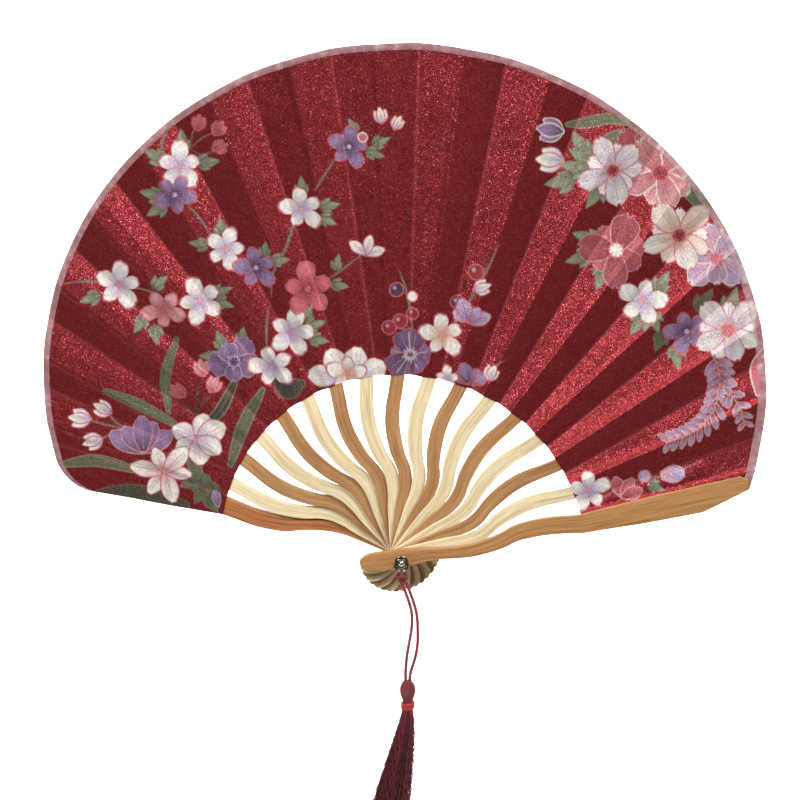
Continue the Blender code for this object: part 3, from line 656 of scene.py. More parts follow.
def paint_right(p):
    """The crowded bouquet on the right."""
    p.stroke([(66, 178), (73, 178.5), (82, 180.5), (92, 179)], 3.6, OLIVE, SAGE, vein=SAGE)
    p.stroke([(78, 171), (88, 174), (99, 173)], 4.4, OLIVE, SAGE, vein=SAGE)
    p.stroke([(112, 153), (118, 149), (124, 143)], 5.5, OLIVE, SAGE, vein=SAGE)
    for x, z, turn in ((71, 170, 120), (69, 161, 170), (63, 155, 190), (77, 150, 235), (72, 165, 150)):
        p.leaf(x, z, turn, 12, 5.6)
    p.flower(94, 168, 9.0, 6, 0.2, DUSKY_LOOK, (PLUM, ROSE, 6), PINKISH)
    p.flower(103, 159, 13.5, 9, 0.15, PINK_LOOK, (DEEP_RED, ROSE, 12), CREAM)
    p.flower(84, 160, 12.5, 9, 0.0, WHITE_LOOK, (DEEP_RED, PEACH, 12))
    p.leaves((74, 133, 160, 12, 5.4), (71, 124.5, 195, 11, 5.0), (80, 117, 250, 11, 5.0))
    p.flower(86, 128, 13.0, 7, 0.3, DUSKY_LOOK, (CREAM, ROSE, 8), PINKISH)
    p.blossom(135, 122, 9.5, 0.5, WHITE_LOOK)
    p.flower(126, 125, 12.0, 7, 0.2, LILAC_LOOK, (ROSE, PINKISH, 9), CREAM)
    p.flower(111, 134, 13.5, 9, 0.1, WARM_WHITE, (DEEP_RED, PEACH, 12), ROSE)
    p.leaves(
        (122, 108, 60, 11, 4.8, OLIVE, SAGE), (133, 108, 70, 11, 5.0), (105, 115, 60, 10, 4.6),
        (95, 98, 235, 10, 4.6), (102, 99, 290, 9, 4.2), (104, 91, 250, 9, 4.4, OLIVE, SAGE),
        (111, 84.5, 280, 10, 4.4),
    )
    p.blossom(97, 107.5, 9.2, 0.1, WHITE_LOOK)
    p.blossom(115, 95, 8.6, 0.6, PURPLE_LOOK)
    p.flower(131.5, 96, 13.0, 9, 0.2, WHITE_LOOK, (ROSE, PEACH, 12), ROSE)
    p.stroke([(146, 88), (143, 80), (144, 70)], 3.4, ROSE, CREAM)
    p.spray([(126, 86), (129, 75), (126, 62), (118, 54), (108, 50)], SAGE, 7.5, 3.6, PINKISH)
    p.spray([(129, 74), (136, 66), (139, 58)], SAGE, 6.0, 3.4, PINKISH)
    p.stroke([(79, 24), (93, 33), (108, 36), (122, 42)], 0.9, STEM)
    for turn in (110, 60, 20):
        p.petal(90, 27, math.radians(turn), 8.5, 4.6, DUSKY_LOOK, PINKISH, 0.6, 0.2)
    p.berry(99, 35.5, 2.3, LAVENDER)
    p.petal(106, 36, 0.10, 9.0, 6.6, LILAC_LOOK, PINKISH, 0.55, 0.4)
    p.leaf(104, 31, -20, 7, 3.2)
    p.blossom(76.5, 29.5, 8.0, 0.4, WHITE_LOOK)


def painted(x, z):
    """(colour, share of ink) of the print at points of the opened leaf, in metres."""
    p = Print(x * 1000, z * 1000)
    for paint in (paint_left, paint_lower_left, paint_top, paint_middle, paint_right):
        paint(p)
    return p.colour, p.ink


# ---------------------------------------------------------------- materials


class Look:
    """A material built up from nodes around one Principled shader."""

    def __init__(self, name):
        self.made = bpy.data.materials.new(name)
        self.made.use_nodes = True
        self.tree = self.made.node_tree
        self.shader = self.tree.nodes["Principled BSDF"]

    def set(self, **values):
        for key, value in values.items():
            socket = self.shader.inputs[key.replace("_", " ")]
            if isinstance(value, bpy.types.NodeSocket):
                self.tree.links.new(value, socket)
            else:
                socket.default_value = (*value, 1.0) if isinstance(value, tuple) else value

    def node(self, kind, inputs=(), **settings):
        made = self.tree.nodes.new("ShaderNode" + kind)
        for key, value in settings.items():
            setattr(made, key, value)
        for key, value in dict(inputs).items():
            if isinstance(value, bpy.types.NodeSocket):
                self.tree.links.new(value, made.inputs[key])
            else:
                made.inputs[key].default_value = value
        return made

    def attribute(self, name, output="Vector"):
        return self.node("Attribute", attribute_name=name).outputs[output]

    def place(self):
        return self.node("TexCoord").outputs["Object"]

    def noise(self, at, scale, detail, rough=0.5):
        inputs = {"Vector": at, "Scale": scale, "Detail": detail, "Roughness": rough}
        return self.node("TexNoise", inputs).outputs["Fac"]

    def cells(self, at, scale, output):
        return self.node("TexVoronoi", {"Vector": at, "Scale": scale, "Randomness": 1.0}).outputs[output]

    def vector(self, kind, *inputs):
        return self.node("VectorMath", enumerate(inputs), operation=kind).outputs[0]

    def ramped(self, value, *stops):
        ramp_node = self.node("ValToRGB", {"Fac": value})
        elements = ramp_node.color_ramp.elements
        while len(elements) < len(stops):
            elements.new(0.5)
        for element, (at, colour) in zip(elements, stops):
            element.position = at
            element.color = (*colour, 1.0) if isinstance(colour, tuple) else (colour, colour, colour, 1.0)
        return ramp_node.outputs["Color"]

    def mixed(self, kind, factor, first, second):
        made = self.node("Mix", data_type="RGBA", blend_type=kind)
        for socket, value in ((made.inputs[0], factor), (made.inputs[6], first), (made.inputs[7], second)):
            if isinstance(value, bpy.types.NodeSocket):
                self.tree.links.new(value, socket)
            else:
                socket.default_value = value
        return made.outputs[2]

    def bump(self, height, strength, distance):
        made = self.node("Bump", {"Height": height, "Strength": strength, "Distance": distance})
        return made.outputs["Normal"]


def silk():
    """Satin with a dyed print: fine weave, soft mottling, threads that glint with tilted normals, painted
    glints added to its colour, and a painted highlight along the folds.
    """
    look = Look("crimson_satin")
    at = look.attribute("cloth_at")
    colour = look.attribute("print", "Color")
    ink = look.attribute("print", "Alpha")
    threads = look.noise(at, 2600.0, 3.0, 0.7)
    mottle = look.noise(at, 260.0, 5.0, 0.7)
    glints = look.cells(at, 3900.0, "Color")
    tone = look.ramped(mottle, (0.30, 0.78), (0.70, 1.0))
    dyed = look.mixed("MULTIPLY", 1.0, colour, tone)
    grain = look.ramped(glints, (0.20, 0.80), (0.55, 0.97), (0.80, 1.0))
    dyed = look.mixed("MULTIPLY", 1.0, dyed, grain)
    tilt = look.vector("ADD", glints, (-0.5, -0.5, -0.5))
    fine = look.bump(threads, 0.35, 0.00010)
    lean = look.vector("MULTIPLY_ADD", tilt, (0.46, 0.46, 0.46), fine)
    facing = look.vector("NORMALIZE", lean)
    # Painted glints: bright flecks of colour added in a share of the thread cells.
    painted_glint_share = look.ramped(glints, (0.70, 0.0), (0.90, 1.0))
    painted_glint_colour = look.mixed("MULTIPLY", 1.0, glints, (0.15, 0.055, 0.085, 1.0))
    dyed = look.mixed("ADD", painted_glint_share, dyed, painted_glint_colour)
    # A painted highlight along the fold that stands out at the front: a lighter line, broken by the threads'
    # noise.
    ridge_highlight_breaks = look.ramped(threads, (0.42, 0.15), (0.60, 1.0))
    ridge = look.attribute("ridge", "Fac")
    shown = look.node("Math", {0: ridge, 1: ridge_highlight_breaks}, operation="MULTIPLY").outputs[0]
    dyed = look.mixed("ADD", shown, dyed, (0.16, 0.040, 0.046, 1.0))
    flakes = look.ramped(glints, (0.30, 0.52), (0.72, 0.34))
    inked = look.ramped(ink, (0.0, 0.0), (1.0, 0.8))
    rough = look.mixed("MIX", inked, flakes, (0.50, 0.50, 0.50, 1.0))
    satin = look.ramped(ink, (0.0, 0.76), (1.0, 0.10))
    look.set(
        Base_Color=dyed, Roughness=rough, Normal=facing, Metallic=satin,
        Sheen_Weight=0.03, Sheen_Roughness=0.4, Sheen_Tint=(0.9, 0.35, 0.35),
        Specular_IOR_Level=0.45, Specular_Tint=(1.0, 0.75, 0.80),
    )
    return look.made


def binding_cloth():
    """A woven ribbon of faded mauve, the print's colours showing faintly."""
    look = Look("mauve_binding")
    at = look.attribute("cloth_at")
    wave = {"Vector": at, "Scale": 900.0, "Distortion": 0.6}
    weave, cross = (look.node("TexWave", wave, bands_direction=way).outputs["Fac"] for way in "XZ")
    mottle = look.noise(at, 260.0, 5.0, 0.7)
    dark, mauve, pale = (0.15, 0.07, 0.075), (0.26, 0.15, 0.155), (0.44, 0.35, 0.34)
    base = look.ramped(mottle, (0.30, dark), (0.52, mauve), (0.74, pale))
    shown = look.ramped(look.attribute("print", "Alpha"), (0.0, 0.26), (1.0, 0.60))
    colour = look.mixed("MIX", shown, base, look.attribute("print", "Color"))
    height = look.mixed("MULTIPLY", 1.0, weave, cross)
    rough = look.ramped(mottle, (0.3, 0.55), (0.7, 0.75))
    look.set(
        Base_Color=colour, Roughness=rough, Normal=look.bump(height, 0.45, 0.00012),
        Sheen_Weight=0.25, Sheen_Tint=(0.9, 0.8, 0.8),
    )
    return look.made


def bamboo(name, pale, middle, dark, rough):
    """Split bamboo: straight fibres along the blade, dark pores, and paler worn edges."""
    look = Look(name)
    at = look.attribute("grain_at")
    wear = look.attribute("wear", "Fac")
    fibres = look.noise(at, 1.0, 5.0, 0.62)
    fine = look.noise(at, 3.4, 3.0, 0.7)
    pores = look.cells(at, 2.2, "Distance")
    base = look.ramped(fibres, (0.28, dark), (0.50, middle), (0.72, pale))
    fibre = look.mixed("MULTIPLY", 0.8, base, look.ramped(fine, (0.25, 0.66), (0.65, 1.0)))
    marked = look.mixed("MULTIPLY", 0.55, fibre, look.ramped(pores, (0.05, 0.45), (0.16, 1.0)))
    edge_wear_and_ridge_highlight = look.mixed("MIX", look.ramped(wear, (0.35, 0.0), (1.0, 0.55)), marked, (*pale, 1.0))
    height = look.mixed("ADD", 0.6, fibres, fine)
    glossy = look.ramped(fibres, (0.3, rough + 0.12), (0.7, rough))
    look.set(
        Base_Color=edge_wear_and_ridge_highlight, Roughness=glossy, Normal=look.bump(height, 0.35, 0.00015),
        Coat_Weight=0.12, Coat_Roughness=0.35, Specular_IOR_Level=0.4,
    )
    return look.made


def metal(name, dark, light):
    """Scuffed and spotted metal."""
    look = Look(name)
    at = look.place()
    scuffs = look.noise(at, 1800.0, 5.0, 0.7)
    colour = look.ramped(look.noise(at, 500.0, 3.0), (0.35, dark), (0.6, light))
    rough = look.ramped(scuffs, (0.3, 0.16), (0.75, 0.38))
    look.set(Base_Color=colour, Metallic=1.0, Roughness=rough, Normal=look.bump(scuffs, 0.15, 0.00005))
    return look.made


def thread(name, dark, light, rough=0.62, stretch=(1.0, 1.0, 0.25), shine=0.3):
    """Spun fibre. stretch draws the fibres out along Z."""
    look = Look(name)
    at = look.place()
    drawn = look.node("Mapping", {"Vector": at, "Scale": stretch}).outputs["Vector"]
    fibres = look.noise(drawn, 2600.0, 4.0, 0.7)
    colour = look.ramped(fibres, (0.3, dark), (0.7, light))
    tone = look.ramped(look.noise(at, 300.0, 3.0), (0.3, 0.62), (0.7, 1.0))
    glossy = look.ramped(fibres, (0.3, rough + 0.1), (0.7, rough - 0.08))
    look.set(
        Base_Color=look.mixed("MULTIPLY", 0.8, colour, tone), Roughness=glossy,
        Normal=look.bump(fibres, 0.4, 0.00012), Sheen_Weight=shine, Sheen_Tint=(0.9, 0.3, 0.3),
    )
    return look.made


def strand_look():
    """The skirt's strands: each is a little lighter or darker than the next at random, and painted shade
    makes the inner strands darker.
    """
    look = Look("maroon_silk_strands")
    which = look.attribute("strand", "Fac")
    fibres = look.noise(look.place(), 1500.0, 3.0, 0.7)
    dark, maroon, bright = (0.016, 0.003, 0.004), (0.060, 0.006, 0.009), (0.24, 0.020, 0.026)
    colour = look.ramped(which, (0.0, dark), (0.55, maroon), (1.0, bright))
    tone = look.ramped(fibres, (0.3, 0.6), (0.7, 1.0))
    look.set(
        Base_Color=look.mixed("MULTIPLY", 0.8, colour, tone), Normal=look.bump(fibres, 0.3, 0.0001),
        Roughness=look.ramped(which, (0.0, 0.50), (1.0, 0.36)),
        Sheen_Weight=0.12, Sheen_Tint=(0.8, 0.3, 0.3),
    )
    return look.made


# ---------------------------------------------------------------- the leaf


def wrinkles(x, z, amount):
    """Small soft unevenness of the cloth, the same on both sides of a fold."""
    wave = np.sin(x * 610 + 2.1 * np.sin(z * 240)) * np.sin(z * 530 + 1.7 * np.sin(x * 310))
    long_wave = np.sin(x * 190 + z * 120) * np.sin(z * 170 - x * 90)
    return amount * (0.45 * wave + 0.55 * long_wave - 0.9)


def dents(k, share, r):
    """Soft dents along a free panel, none at its folds. They differ from panel to panel."""
    run = r / 0.017 + 1.9 * k
    shape = np.sin(run + 0.8 * np.sin(2.3 * run)) + 0.6 * np.sin(0.53 * run + k)
    return DENT_DEPTH * shape * np.sin(math.pi * share) ** 2 * ramp(r, LEAF_INNER, LEAF_INNER + 0.012)


def crease(height, away):
    """The rounding of the cloth beside a fold, at distances from it."""
    return height * np.exp(-away / CREASE * 2)


def angle_at(k, sideways, r):
    """The angle of a place at radius r and sideways of blade k's line."""
    return blade_angle(k) + np.degrees(np.arcsin(sideways / r))


def pleat_angles(k, r):
    """The angles of the two folds of free panel k, at radius r."""
    return angle_at(k, upper_fold(k, r), r), angle_at(k - 1, lower_fold(k - 1, r), r)


def glued_sideways(k, r, share):
    """Sideways places across the panel glued to blade k, at shares of the way counterclockwise."""
    low = r * math.sin(math.radians(-FRONT_END_ANGLE)) if k == FRONT else lower_fold(k, r)
    high = r * math.sin(math.radians(LEAF_END_ANGLE)) if k == 0 else upper_fold(k, r)
    return low + (high - low) * share


class Panel:
    """One panel of the leaf, glued or free, as a grid of (share across, share along)."""

    def __init__(self, k, glued):
        self.k, self.glued = k, glued
        self.outer = rounded_end if glued and k == 0 else leaf_outer
        width = END_PANEL_WIDTH if glued and k == 0 else PANEL_WIDTH
        self.across = BACK_EVERY * round(width / CLOTH_STEP / BACK_EVERY)
        self.along = BACK_EVERY * round(PANEL_LENGTH / CLOTH_STEP / BACK_EVERY)
        share = np.linspace(0, 1, self.across + 1)
        if glued and k == 0:  # closer points where the corner is rounded
            share = 1 - (1 - share) ** 1.35
        self.share = share[:, None]

    def lines(self, r):
        """(angle, depth) at radii r, an array whose rows go with the shares across."""
        k, share = self.k, self.share
        if self.glued:
            sideways = glued_sideways(k, r, share)
            depth = leaf_depth(k, sideways, r)
            if k != 0:
                depth = depth + crease(RIDGE_HEIGHT, np.abs(upper_fold(k, r) - sideways))
            if k != FRONT:
                depth = depth - crease(VALLEY_DEPTH, np.abs(sideways - lower_fold(k, r)))
            return angle_at(k, sideways, r), depth
        start, end = pleat_angles(k, r)
        angle = start + (end - start) * share
        first = leaf_depth(k, upper_fold(k, r), r)
        last = leaf_depth(k - 1, lower_fold(k - 1, r), r)
        from_fold = np.radians(angle - start) * r
        to_fold = np.radians(end - angle) * r
        sag = ramp(from_fold, -0.0008, 0.0024) - ramp(0.0, -0.0008, 0.0024)
        depth = first + (last - first) * share + PLEAT_SAG * sag * (1 - share)
        return angle, depth + crease(RIDGE_HEIGHT, from_fold) - crease(VALLEY_DEPTH, to_fold)

    def from_ridge(self, r):
        """How far points at radii r are from the fold that stands out at the front."""
        if self.glued:
            gap = glued_sideways(self.k, r, self.share) - lower_fold(self.k, r)
            return gap + (self.k == FRONT)  # no such fold at the front guard, so it is put far off
        angle = self.lines(r)[0]
        return np.radians(angle[-1:] - angle) * r

    def end_radius(self):
        """The radius of the outer edge at each share across, whose angle depends on that radius in turn."""
        r = np.full((self.across + 1, 1), PLEAT_RADIUS)
        for _ in range(9):
            r = self.outer(self.lines(r)[0])
        return r

    def surface(self):
        """Points (across, along, 3) of the middle of the cloth, and the radii of its outer edge."""
        end = self.end_radius()
        r = LEAF_INNER + (end - LEAF_INNER) * np.linspace(0, 1, self.along + 1)[None]
        angle, depth = self.lines(r)
        turn = np.radians(angle)
        x, z = r * np.cos(turn), r * np.sin(turn)
        bare = 1.0
        if self.glued:
            bare = ramp(strip_edge(self.k, r) - glued_sideways(self.k, r, self.share), -0.0004, 0.0016)
            bare = bare * (self.k != FRONT)
        amount = WRINKLE_HEIGHT * ramp(r, LEAF_INNER, LEAF_INNER + 0.004)
        depth = depth + wrinkles(x, z, amount) * (0.25 + 0.75 * bare)
        if not self.glued:
            depth = depth + dents(self.k, self.share, r)
        return np.stack([x, depth, z], -1), end

    def name(self):
        return f"leaf_{'panel' if self.glued else 'pleat'}_{self.k:02d}"

    def node(self):
        return f"leaf_{'glued' if self.glued else 'fold'}_{self.k:02d}"


def grid_faces(rows, columns, flip=False):
    i, j = np.meshgrid(np.arange(rows - 1), np.arange(columns - 1), indexing="ij")
    a = i * columns + j
    faces = np.stack([a, a + columns, a + columns + 1, a + 1], -1).reshape(-1, 4)
    return faces[:, ::-1] if flip else faces


def border(rows, columns):
    """The points round a grid, in order."""
    first = [i * columns for i in range(rows)]
    last = [(rows - 1) * columns + j for j in range(1, columns)]
    far = [i * columns + columns - 1 for i in range(rows - 2, -1, -1)]
    return [*first, *last, *far, *range(columns - 2, 0, -1)]


def cloth_mesh(middle):
    """(points, faces) of a panel of cloth: a fine front, a back with fewer points, and its cut edges."""
    rows, columns = middle.shape[:2]
    front = middle - (0, LEAF_THICKNESS / 2, 0)
    back = middle[::BACK_EVERY, ::BACK_EVERY] + (0, LEAF_THICKNESS / 2, 0)
    back_rows, back_columns = back.shape[:2]
    start = rows * columns
    points = np.concatenate([front.reshape(-1, 3), back.reshape(-1, 3)])
    faces = [grid_faces(rows, columns), grid_faces(back_rows, back_columns, True) + start]
    round_front, round_back = border(rows, columns), border(back_rows, back_columns)
    count = len(round_back)
    rim = []
    for n in range(count):
        run = [round_front[(n * BACK_EVERY + m) % len(round_front)] for m in range(BACK_EVERY, -1, -1)]
        rim.append([*run, start + round_back[n], start + round_back[(n + 1) % count]])
    return points, [*faces, np.array(rim)]


def binding_mesh(panel, middle, end):
    """A folded ribbon over the panel's outer edge, closed at its ends."""
    rows, columns = middle.shape[:2]
    turn = np.radians(panel.lines(end)[0])
    width = BINDING_WIDTH + (BINDING_WIDTH_RIGHT - BINDING_WIDTH) * ramp(-np.degrees(turn), -60, -25)
    u, v = np.array(BINDING_SECTION).T
    r = end + width * u[None]
    share = np.clip((r - LEAF_INNER) / (end - LEAF_INNER), 0, 1)
    at = share * (columns - 1)
    i = np.minimum(at.astype(int), columns - 2)
    rows_at = np.arange(rows)[:, None]
    low, high = middle[rows_at, i, 1], middle[rows_at, i + 1, 1]
    depth = low + (high - low) * (at - i) + v[None] / 1000
    points = np.stack([r * np.cos(turn), depth, r * np.sin(turn)], -1)
    return points.reshape(-1, 3), [wall(rows, len(u), flip=True), end_faces(rows, len(u))]


def fold_weights(obj, panel, points):
    """Bakes the object's placement into its mesh and finds the angles of the free panel's two folds at its
    points, which nothing uses.
    """
    k = panel.k
    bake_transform(obj)
    start, end = pleat_angles(k, np.hypot(points[:, 0], points[:, 2]))


def print_colours(points):
    """The print's colour and share of ink at each point, as one colour with alpha."""
    colour, ink = painted(points[:, 0], points[:, 2])
    return np.concatenate([colour, ink[:, None]], 1)


def cloth_colours(points, front_count):
    """The print on the front, and what of it shows through on the back."""
    colours = print_colours(points)
    plain = np.array(CRIMSON) * 0.72
    colours[front_count:, :3] = plain + (colours[front_count:, :3] - plain) * 0.12
    colours[front_count:, 3] = 0
    return colours


def add_leaf(cloth, ribbon):
    panels = [Panel(k, True) for k in range(BLADES)] + [Panel(k, False) for k in range(1, BLADES)]
    for panel in panels:
        middle, end = panel.surface()
        points, faces = cloth_mesh(middle)
        ridge = panel.from_ridge(np.hypot(middle[..., 0], middle[..., 2]))
        # How strong the painted highlight is along the fold that stands out at the front, greatest on it.
        edge_wear_and_ridge_highlight = np.zeros(len(points))
        edge_wear_and_ridge_highlight[:ridge.size] = np.exp(-((ridge / RIDGE_HIGHLIGHT_WIDTH) ** 2)).ravel()
        made = add_mesh(
            panel.name(), points, faces, cloth, 50,
            print=cloth_colours(points, ridge.size), cloth_at=points[:, [0, 2, 1]], ridge=edge_wear_and_ridge_highlight,
        )
        edging_points, edging_faces = binding_mesh(panel, middle, end)
        edging = add_mesh(
            panel.name().replace("leaf", "binding"), edging_points, edging_faces, ribbon, 50,
            print=print_colours(edging_points), cloth_at=edging_points[:, [0, 2, 1]],
        )
        if panel.glued:
            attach(made, body_name(panel.k))
            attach(edging, body_name(panel.k))
        else:
            fold_weights(made, panel, points)
            fold_weights(edging, panel, edging_points)
        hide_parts(panel.node())


# ---------------------------------------------------------------- the blades


def blade_stations(tip):
    """Distances from the rivet along a blade, closest where its outline bends most."""
    tail = TAIL_END + (TAIL_START - TAIL_END) * (1 - np.cos(np.linspace(0.12, math.pi / 2, 14)))
    return np.concatenate([tail, np.arange(-0.0092, 0.0780, 0.0008), np.linspace(0.0784, tip, 24)])


def rounded_section(low, high, front, back, edge_round):
    """(sideways, depth) round a blade's section with rounded edges, each an array along the blade."""
    turn = np.linspace(0, math.pi / 2, 4)
    c, s = np.cos(turn), np.sin(turn)
    width, depth = high - low, back - front
    a = np.minimum(edge_round, width * 0.45)
    b = np.minimum(edge_round, depth * 0.45)
    corners = []
    for side_z, side_y, order in ((0, 0, 1), (1, 0, -1), (1, 1, 1), (0, 1, -1)):
        for cc, ss in zip(c[::order], s[::order]):
            z = low + a - a * cc if side_z == 0 else high - a + a * cc
            y = front + b - b * ss if side_y == 0 else back - b + b * ss
            corners.append((z, y))
        if side_y == side_z:
            for share in (0.25, 0.5, 0.75)[::order if side_y == 0 else -order]:
                corners.append((low + a + (width - 2 * a) * share, front if side_y == 0 else back))
    return corners


def guard_tip(s, half):
    """The slanted and the straight edge of a front guard beyond its shoulder, which end in a blunt tip."""
    share = np.clip((s - GUARD_SHOULDER) / (GUARD_TIP - GUARD_SHOULDER), 0, 1)
    near_end = np.clip((s - GUARD_TIP + TIP_CORNER) / TIP_CORNER, 0, 1)
    slanted = -half + share * (TIP_MIDDLE - TIP_WIDTH / 2 + half)
    round_off = np.sqrt(np.clip(1 - near_end**2, 0, 1))
    return slanted, TIP_MIDDLE + TIP_WIDTH / 2 + (half - TIP_MIDDLE - TIP_WIDTH / 2) * round_off


def blade_mesh(k):
    """(points, faces, grain, wear) of blade k, shaped along +X with its width along Z and then turned."""
    guard = k in (0, FRONT)
    rotation = math.radians(blade_angle(k))
    tip = GUARD_TIP if guard else float(leaf_outer(np.array(blade_angle(k)))) - RIB_SHORT_OF_EDGE
    s = blade_stations(tip)
    into_tail = np.maximum(0, (TAIL_START - s) / (TAIL_START - TAIL_END))
    half = smooth(GUARD_WIDTH if guard else RIB_WIDTH, s) / 2 * np.sqrt(np.maximum(0, 1 - into_tail**2))
    middle = smooth(GUARD_CENTRE if guard else RIB_CENTRE, s)
    low, high = middle - half, middle + half
    under = ramp(s, TAPER_START, TAPER_END)
    if guard:
        side = 1 if k == FRONT else -1  # the rear guard is the front one turned over
        slanted, straight = guard_tip(s, half)
        past = s > GUARD_SHOULDER
        low = np.where(past, np.minimum(side * slanted, side * straight), low)
        high = np.where(past, np.maximum(side * slanted, side * straight), high)
        glued = leaf_level(k) - side * (LEAF_THICKNESS / 2 + GLUE_GAP)
        inner = -side * GUARD_INNER * (1 - under) + glued * under
        outer = np.full_like(s, -side * GUARD_OUTER)
        front, back = (outer, inner) if k == FRONT else (inner, outer)
        lean = 0 * s
    else:
        lean = pleat_slope(k) * under
        front = -HEAD_THICKNESS / 2 * (1 - under) + RIB_UNDER_LEAF[0] * under
        back = HEAD_THICKNESS / 2 * (1 - under) + RIB_UNDER_LEAF[1] * under
    rings = rounded_section(low, high, front, back, BLADE_EDGE)
    z = np.stack([c[0] for c in rings], 1)
    y = np.stack([c[1] for c in rings], 1) - lean[:, None] * z
    x = np.repeat(s[:, None], len(rings), 1)
    faces = [wall(len(s), len(rings), flip=True), end_faces(len(s), len(rings))]
    close = np.minimum(z - low[:, None], high[:, None] - z)
    wear = np.exp(-np.maximum(close, 0) / EDGE_WEAR)
    across_grain = (z - middle[:, None]) / FIBRE_WIDTH + 3.1 * k
    grain = np.stack([x / FIBRE_LENGTH + 5.7 * k, across_grain, y / FIBRE_DEPTH], -1)
    c, n = math.cos(rotation), math.sin(rotation)
    offset = 0 if guard else level(k)
    world = np.stack([x * c - z * n, y + offset, x * n + z * c], -1)
    return world.reshape(-1, 3), faces, grain.reshape(-1, 3), wear.ravel()


def add_blades(looks):
    bpy.ops.mesh.primitive_cylinder_add(
        vertices=40, radius=BORE_RADIUS, depth=2 * GUARD_OUTER + 0.004, rotation=(math.pi / 2, 0, 0)
    )
    bore = bpy.context.object
    for k in range(BLADES):
        points, faces, grain, wear = blade_mesh(k)
        look = looks[body_name(k)] if k in (0, FRONT) else looks["odd" if k % 2 else "even"]
        made = add_mesh(f"blade_{k:02d}", points, faces, look, 40, grain_at=grain, wear=wear)
        hole = made.modifiers.new("rivet_bore", "BOOLEAN")
        hole.operation = "DIFFERENCE"
        hole.object = bore
        cut = bpy.data.meshes.new_from_object(made.evaluated_get(bpy.context.evaluated_depsgraph_get()))
        made.modifiers.clear()
        made.data = cut
        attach(made, body_name(k))
        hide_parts(body_name(k))
    bpy.data.objects.remove(bore)


# ---------------------------------------------------------------- rivet and ring


BALL_RADIUS = 0.00145


def add_rivet(steel, aged):
    """The pin with its ball head, the rolled eyelet below the ball, and the washer behind. Their profiles are
    (depth, radius)."""
    face = GUARD_OUTER + 0.0001
    neck = face + 0.0018
    dome = [
        (-neck - BALL_RADIUS * math.sin(t), BALL_RADIUS * math.cos(t)) for t in np.linspace(1.53, 0.0, 14)
    ]
    profile = [*dome, (-neck + 0.00008, 0.00140), (-neck + 0.00010, 0.0011), (-neck + 0.0003, 0.0010)]
    profile += [(face + 0.0007, 0.0010), (face + 0.0007, 0.00138), (face + 0.0008, 0.00145)]
    profile += [(face + 0.0010, 0.00140), (face + 0.00125, 0.0011), (face + 0.0014, 0.0004)]
    points, faces = turned(profile, 48)
    pin = add_mesh("rivet_with_ball_head", points, faces, steel, 45)
    rolled = [
        (-face - 0.00002, 0.0017), (-face - 0.00035, 0.00172), (-face - 0.00046, 0.00185),
        (-face - 0.0005, 0.0021), (-face - 0.00046, 0.00235), (-face - 0.00032, 0.00255),
        (-face - 0.00016, 0.00266), (-face - 0.00004, 0.0027), (-face, 0.00262), (-face, 0.0018),
    ]
    points, faces = turned(rolled, 48, closed=True)
    eyelet = add_mesh("rolled_eyelet", points, faces, aged, 45)
    flat = [
        (face, 0.0013), (face, 0.0026), (face + 0.0001, 0.0027), (face + 0.0004, 0.0027),
        (face + 0.0005, 0.0026), (face + 0.0005, 0.0014), (face + 0.0004, 0.0013),
    ]
    points, faces = turned(flat[::-1], 48, closed=True)
    washer = add_mesh("back_washer", points, faces, steel, 45)
    for made, node in ((pin, "rivet_pin"), (eyelet, "front_eyelet"), (washer, "rear_washer")):
        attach(made, "front_guard")
        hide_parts(node)


def box_middle(node):
    low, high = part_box(node)
    return (np.array(low) + np.array(high)) / 2


LOOP_RADIUS, WIRE_RADIUS = 0.0026, 0.00035


def add_ring(steel):
    """The wire ring: one turn of wire whose ends meet at the knot."""
    middle = box_middle("wire_ring")
    turn = np.linspace(-math.pi / 2 + 0.05, 1.5 * math.pi - 0.05, 90)
    line = middle + np.stack([LOOP_RADIUS * np.cos(turn), 0 * turn, LOOP_RADIUS * np.sin(turn)], -1)
    points, quads, caps = tube(line, WIRE_RADIUS, 14)
    made = add_mesh("wire_loop", points, [quads, caps], steel, 60)
    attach(made, "tassel")
    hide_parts("wire_ring")


# ---------------------------------------------------------------- the tassel

CORD_RADIUS, CORD_PITCH = 0.00062, 0.0024
KNOT_CORD_RADIUS, KNOT_PITCH = 0.00058, 0.0020
PLY_SPREAD = 1.22  # how far out two plies reach, against the radius of a round cord of their thickness
CORD_LEFT = (
    (-0.0006, -0.0146, -0.0074), (0.0001, -0.0146, -0.0085), (0.0010, -0.0147, -0.0108),
    (0.0021, -0.0148, -0.0138), (0.0031, -0.0149, -0.0168), (0.0039, -0.0150, -0.0198),
    (0.0043, -0.0151, -0.0228), (0.0043, -0.0151, -0.0262), (0.0039, -0.0151, -0.0298),
    (0.0033, -0.0151, -0.0334), (0.0027, -0.0150, -0.0370), (0.0022, -0.0149, -0.0405),
    (0.0019, -0.0148, -0.0438), (0.0017, -0.0147, -0.0468), (0.0017, -0.0146, -0.0492),
    (0.0018, -0.0146, -0.0508),
)
CORD_RIGHT = (
    (0.0010, -0.0146, -0.0074), (0.0017, -0.0146, -0.0083), (0.0027, -0.0147, -0.0105),
    (0.0038, -0.0148, -0.0134), (0.0048, -0.0149, -0.0163), (0.0057, -0.0150, -0.0193),
    (0.0063, -0.0151, -0.0224), (0.0066, -0.0151, -0.0258), (0.0067, -0.0151, -0.0294),
    (0.0067, -0.0151, -0.0330), (0.0064, -0.0150, -0.0366), (0.0058, -0.0149, -0.0401),
    (0.0049, -0.0148, -0.0434), (0.0040, -0.0147, -0.0464), (0.0035, -0.0146, -0.0490),
    (0.0034, -0.0146, -0.0508),
)
TASSEL_X, TASSEL_Y = 0.0026, -0.0146
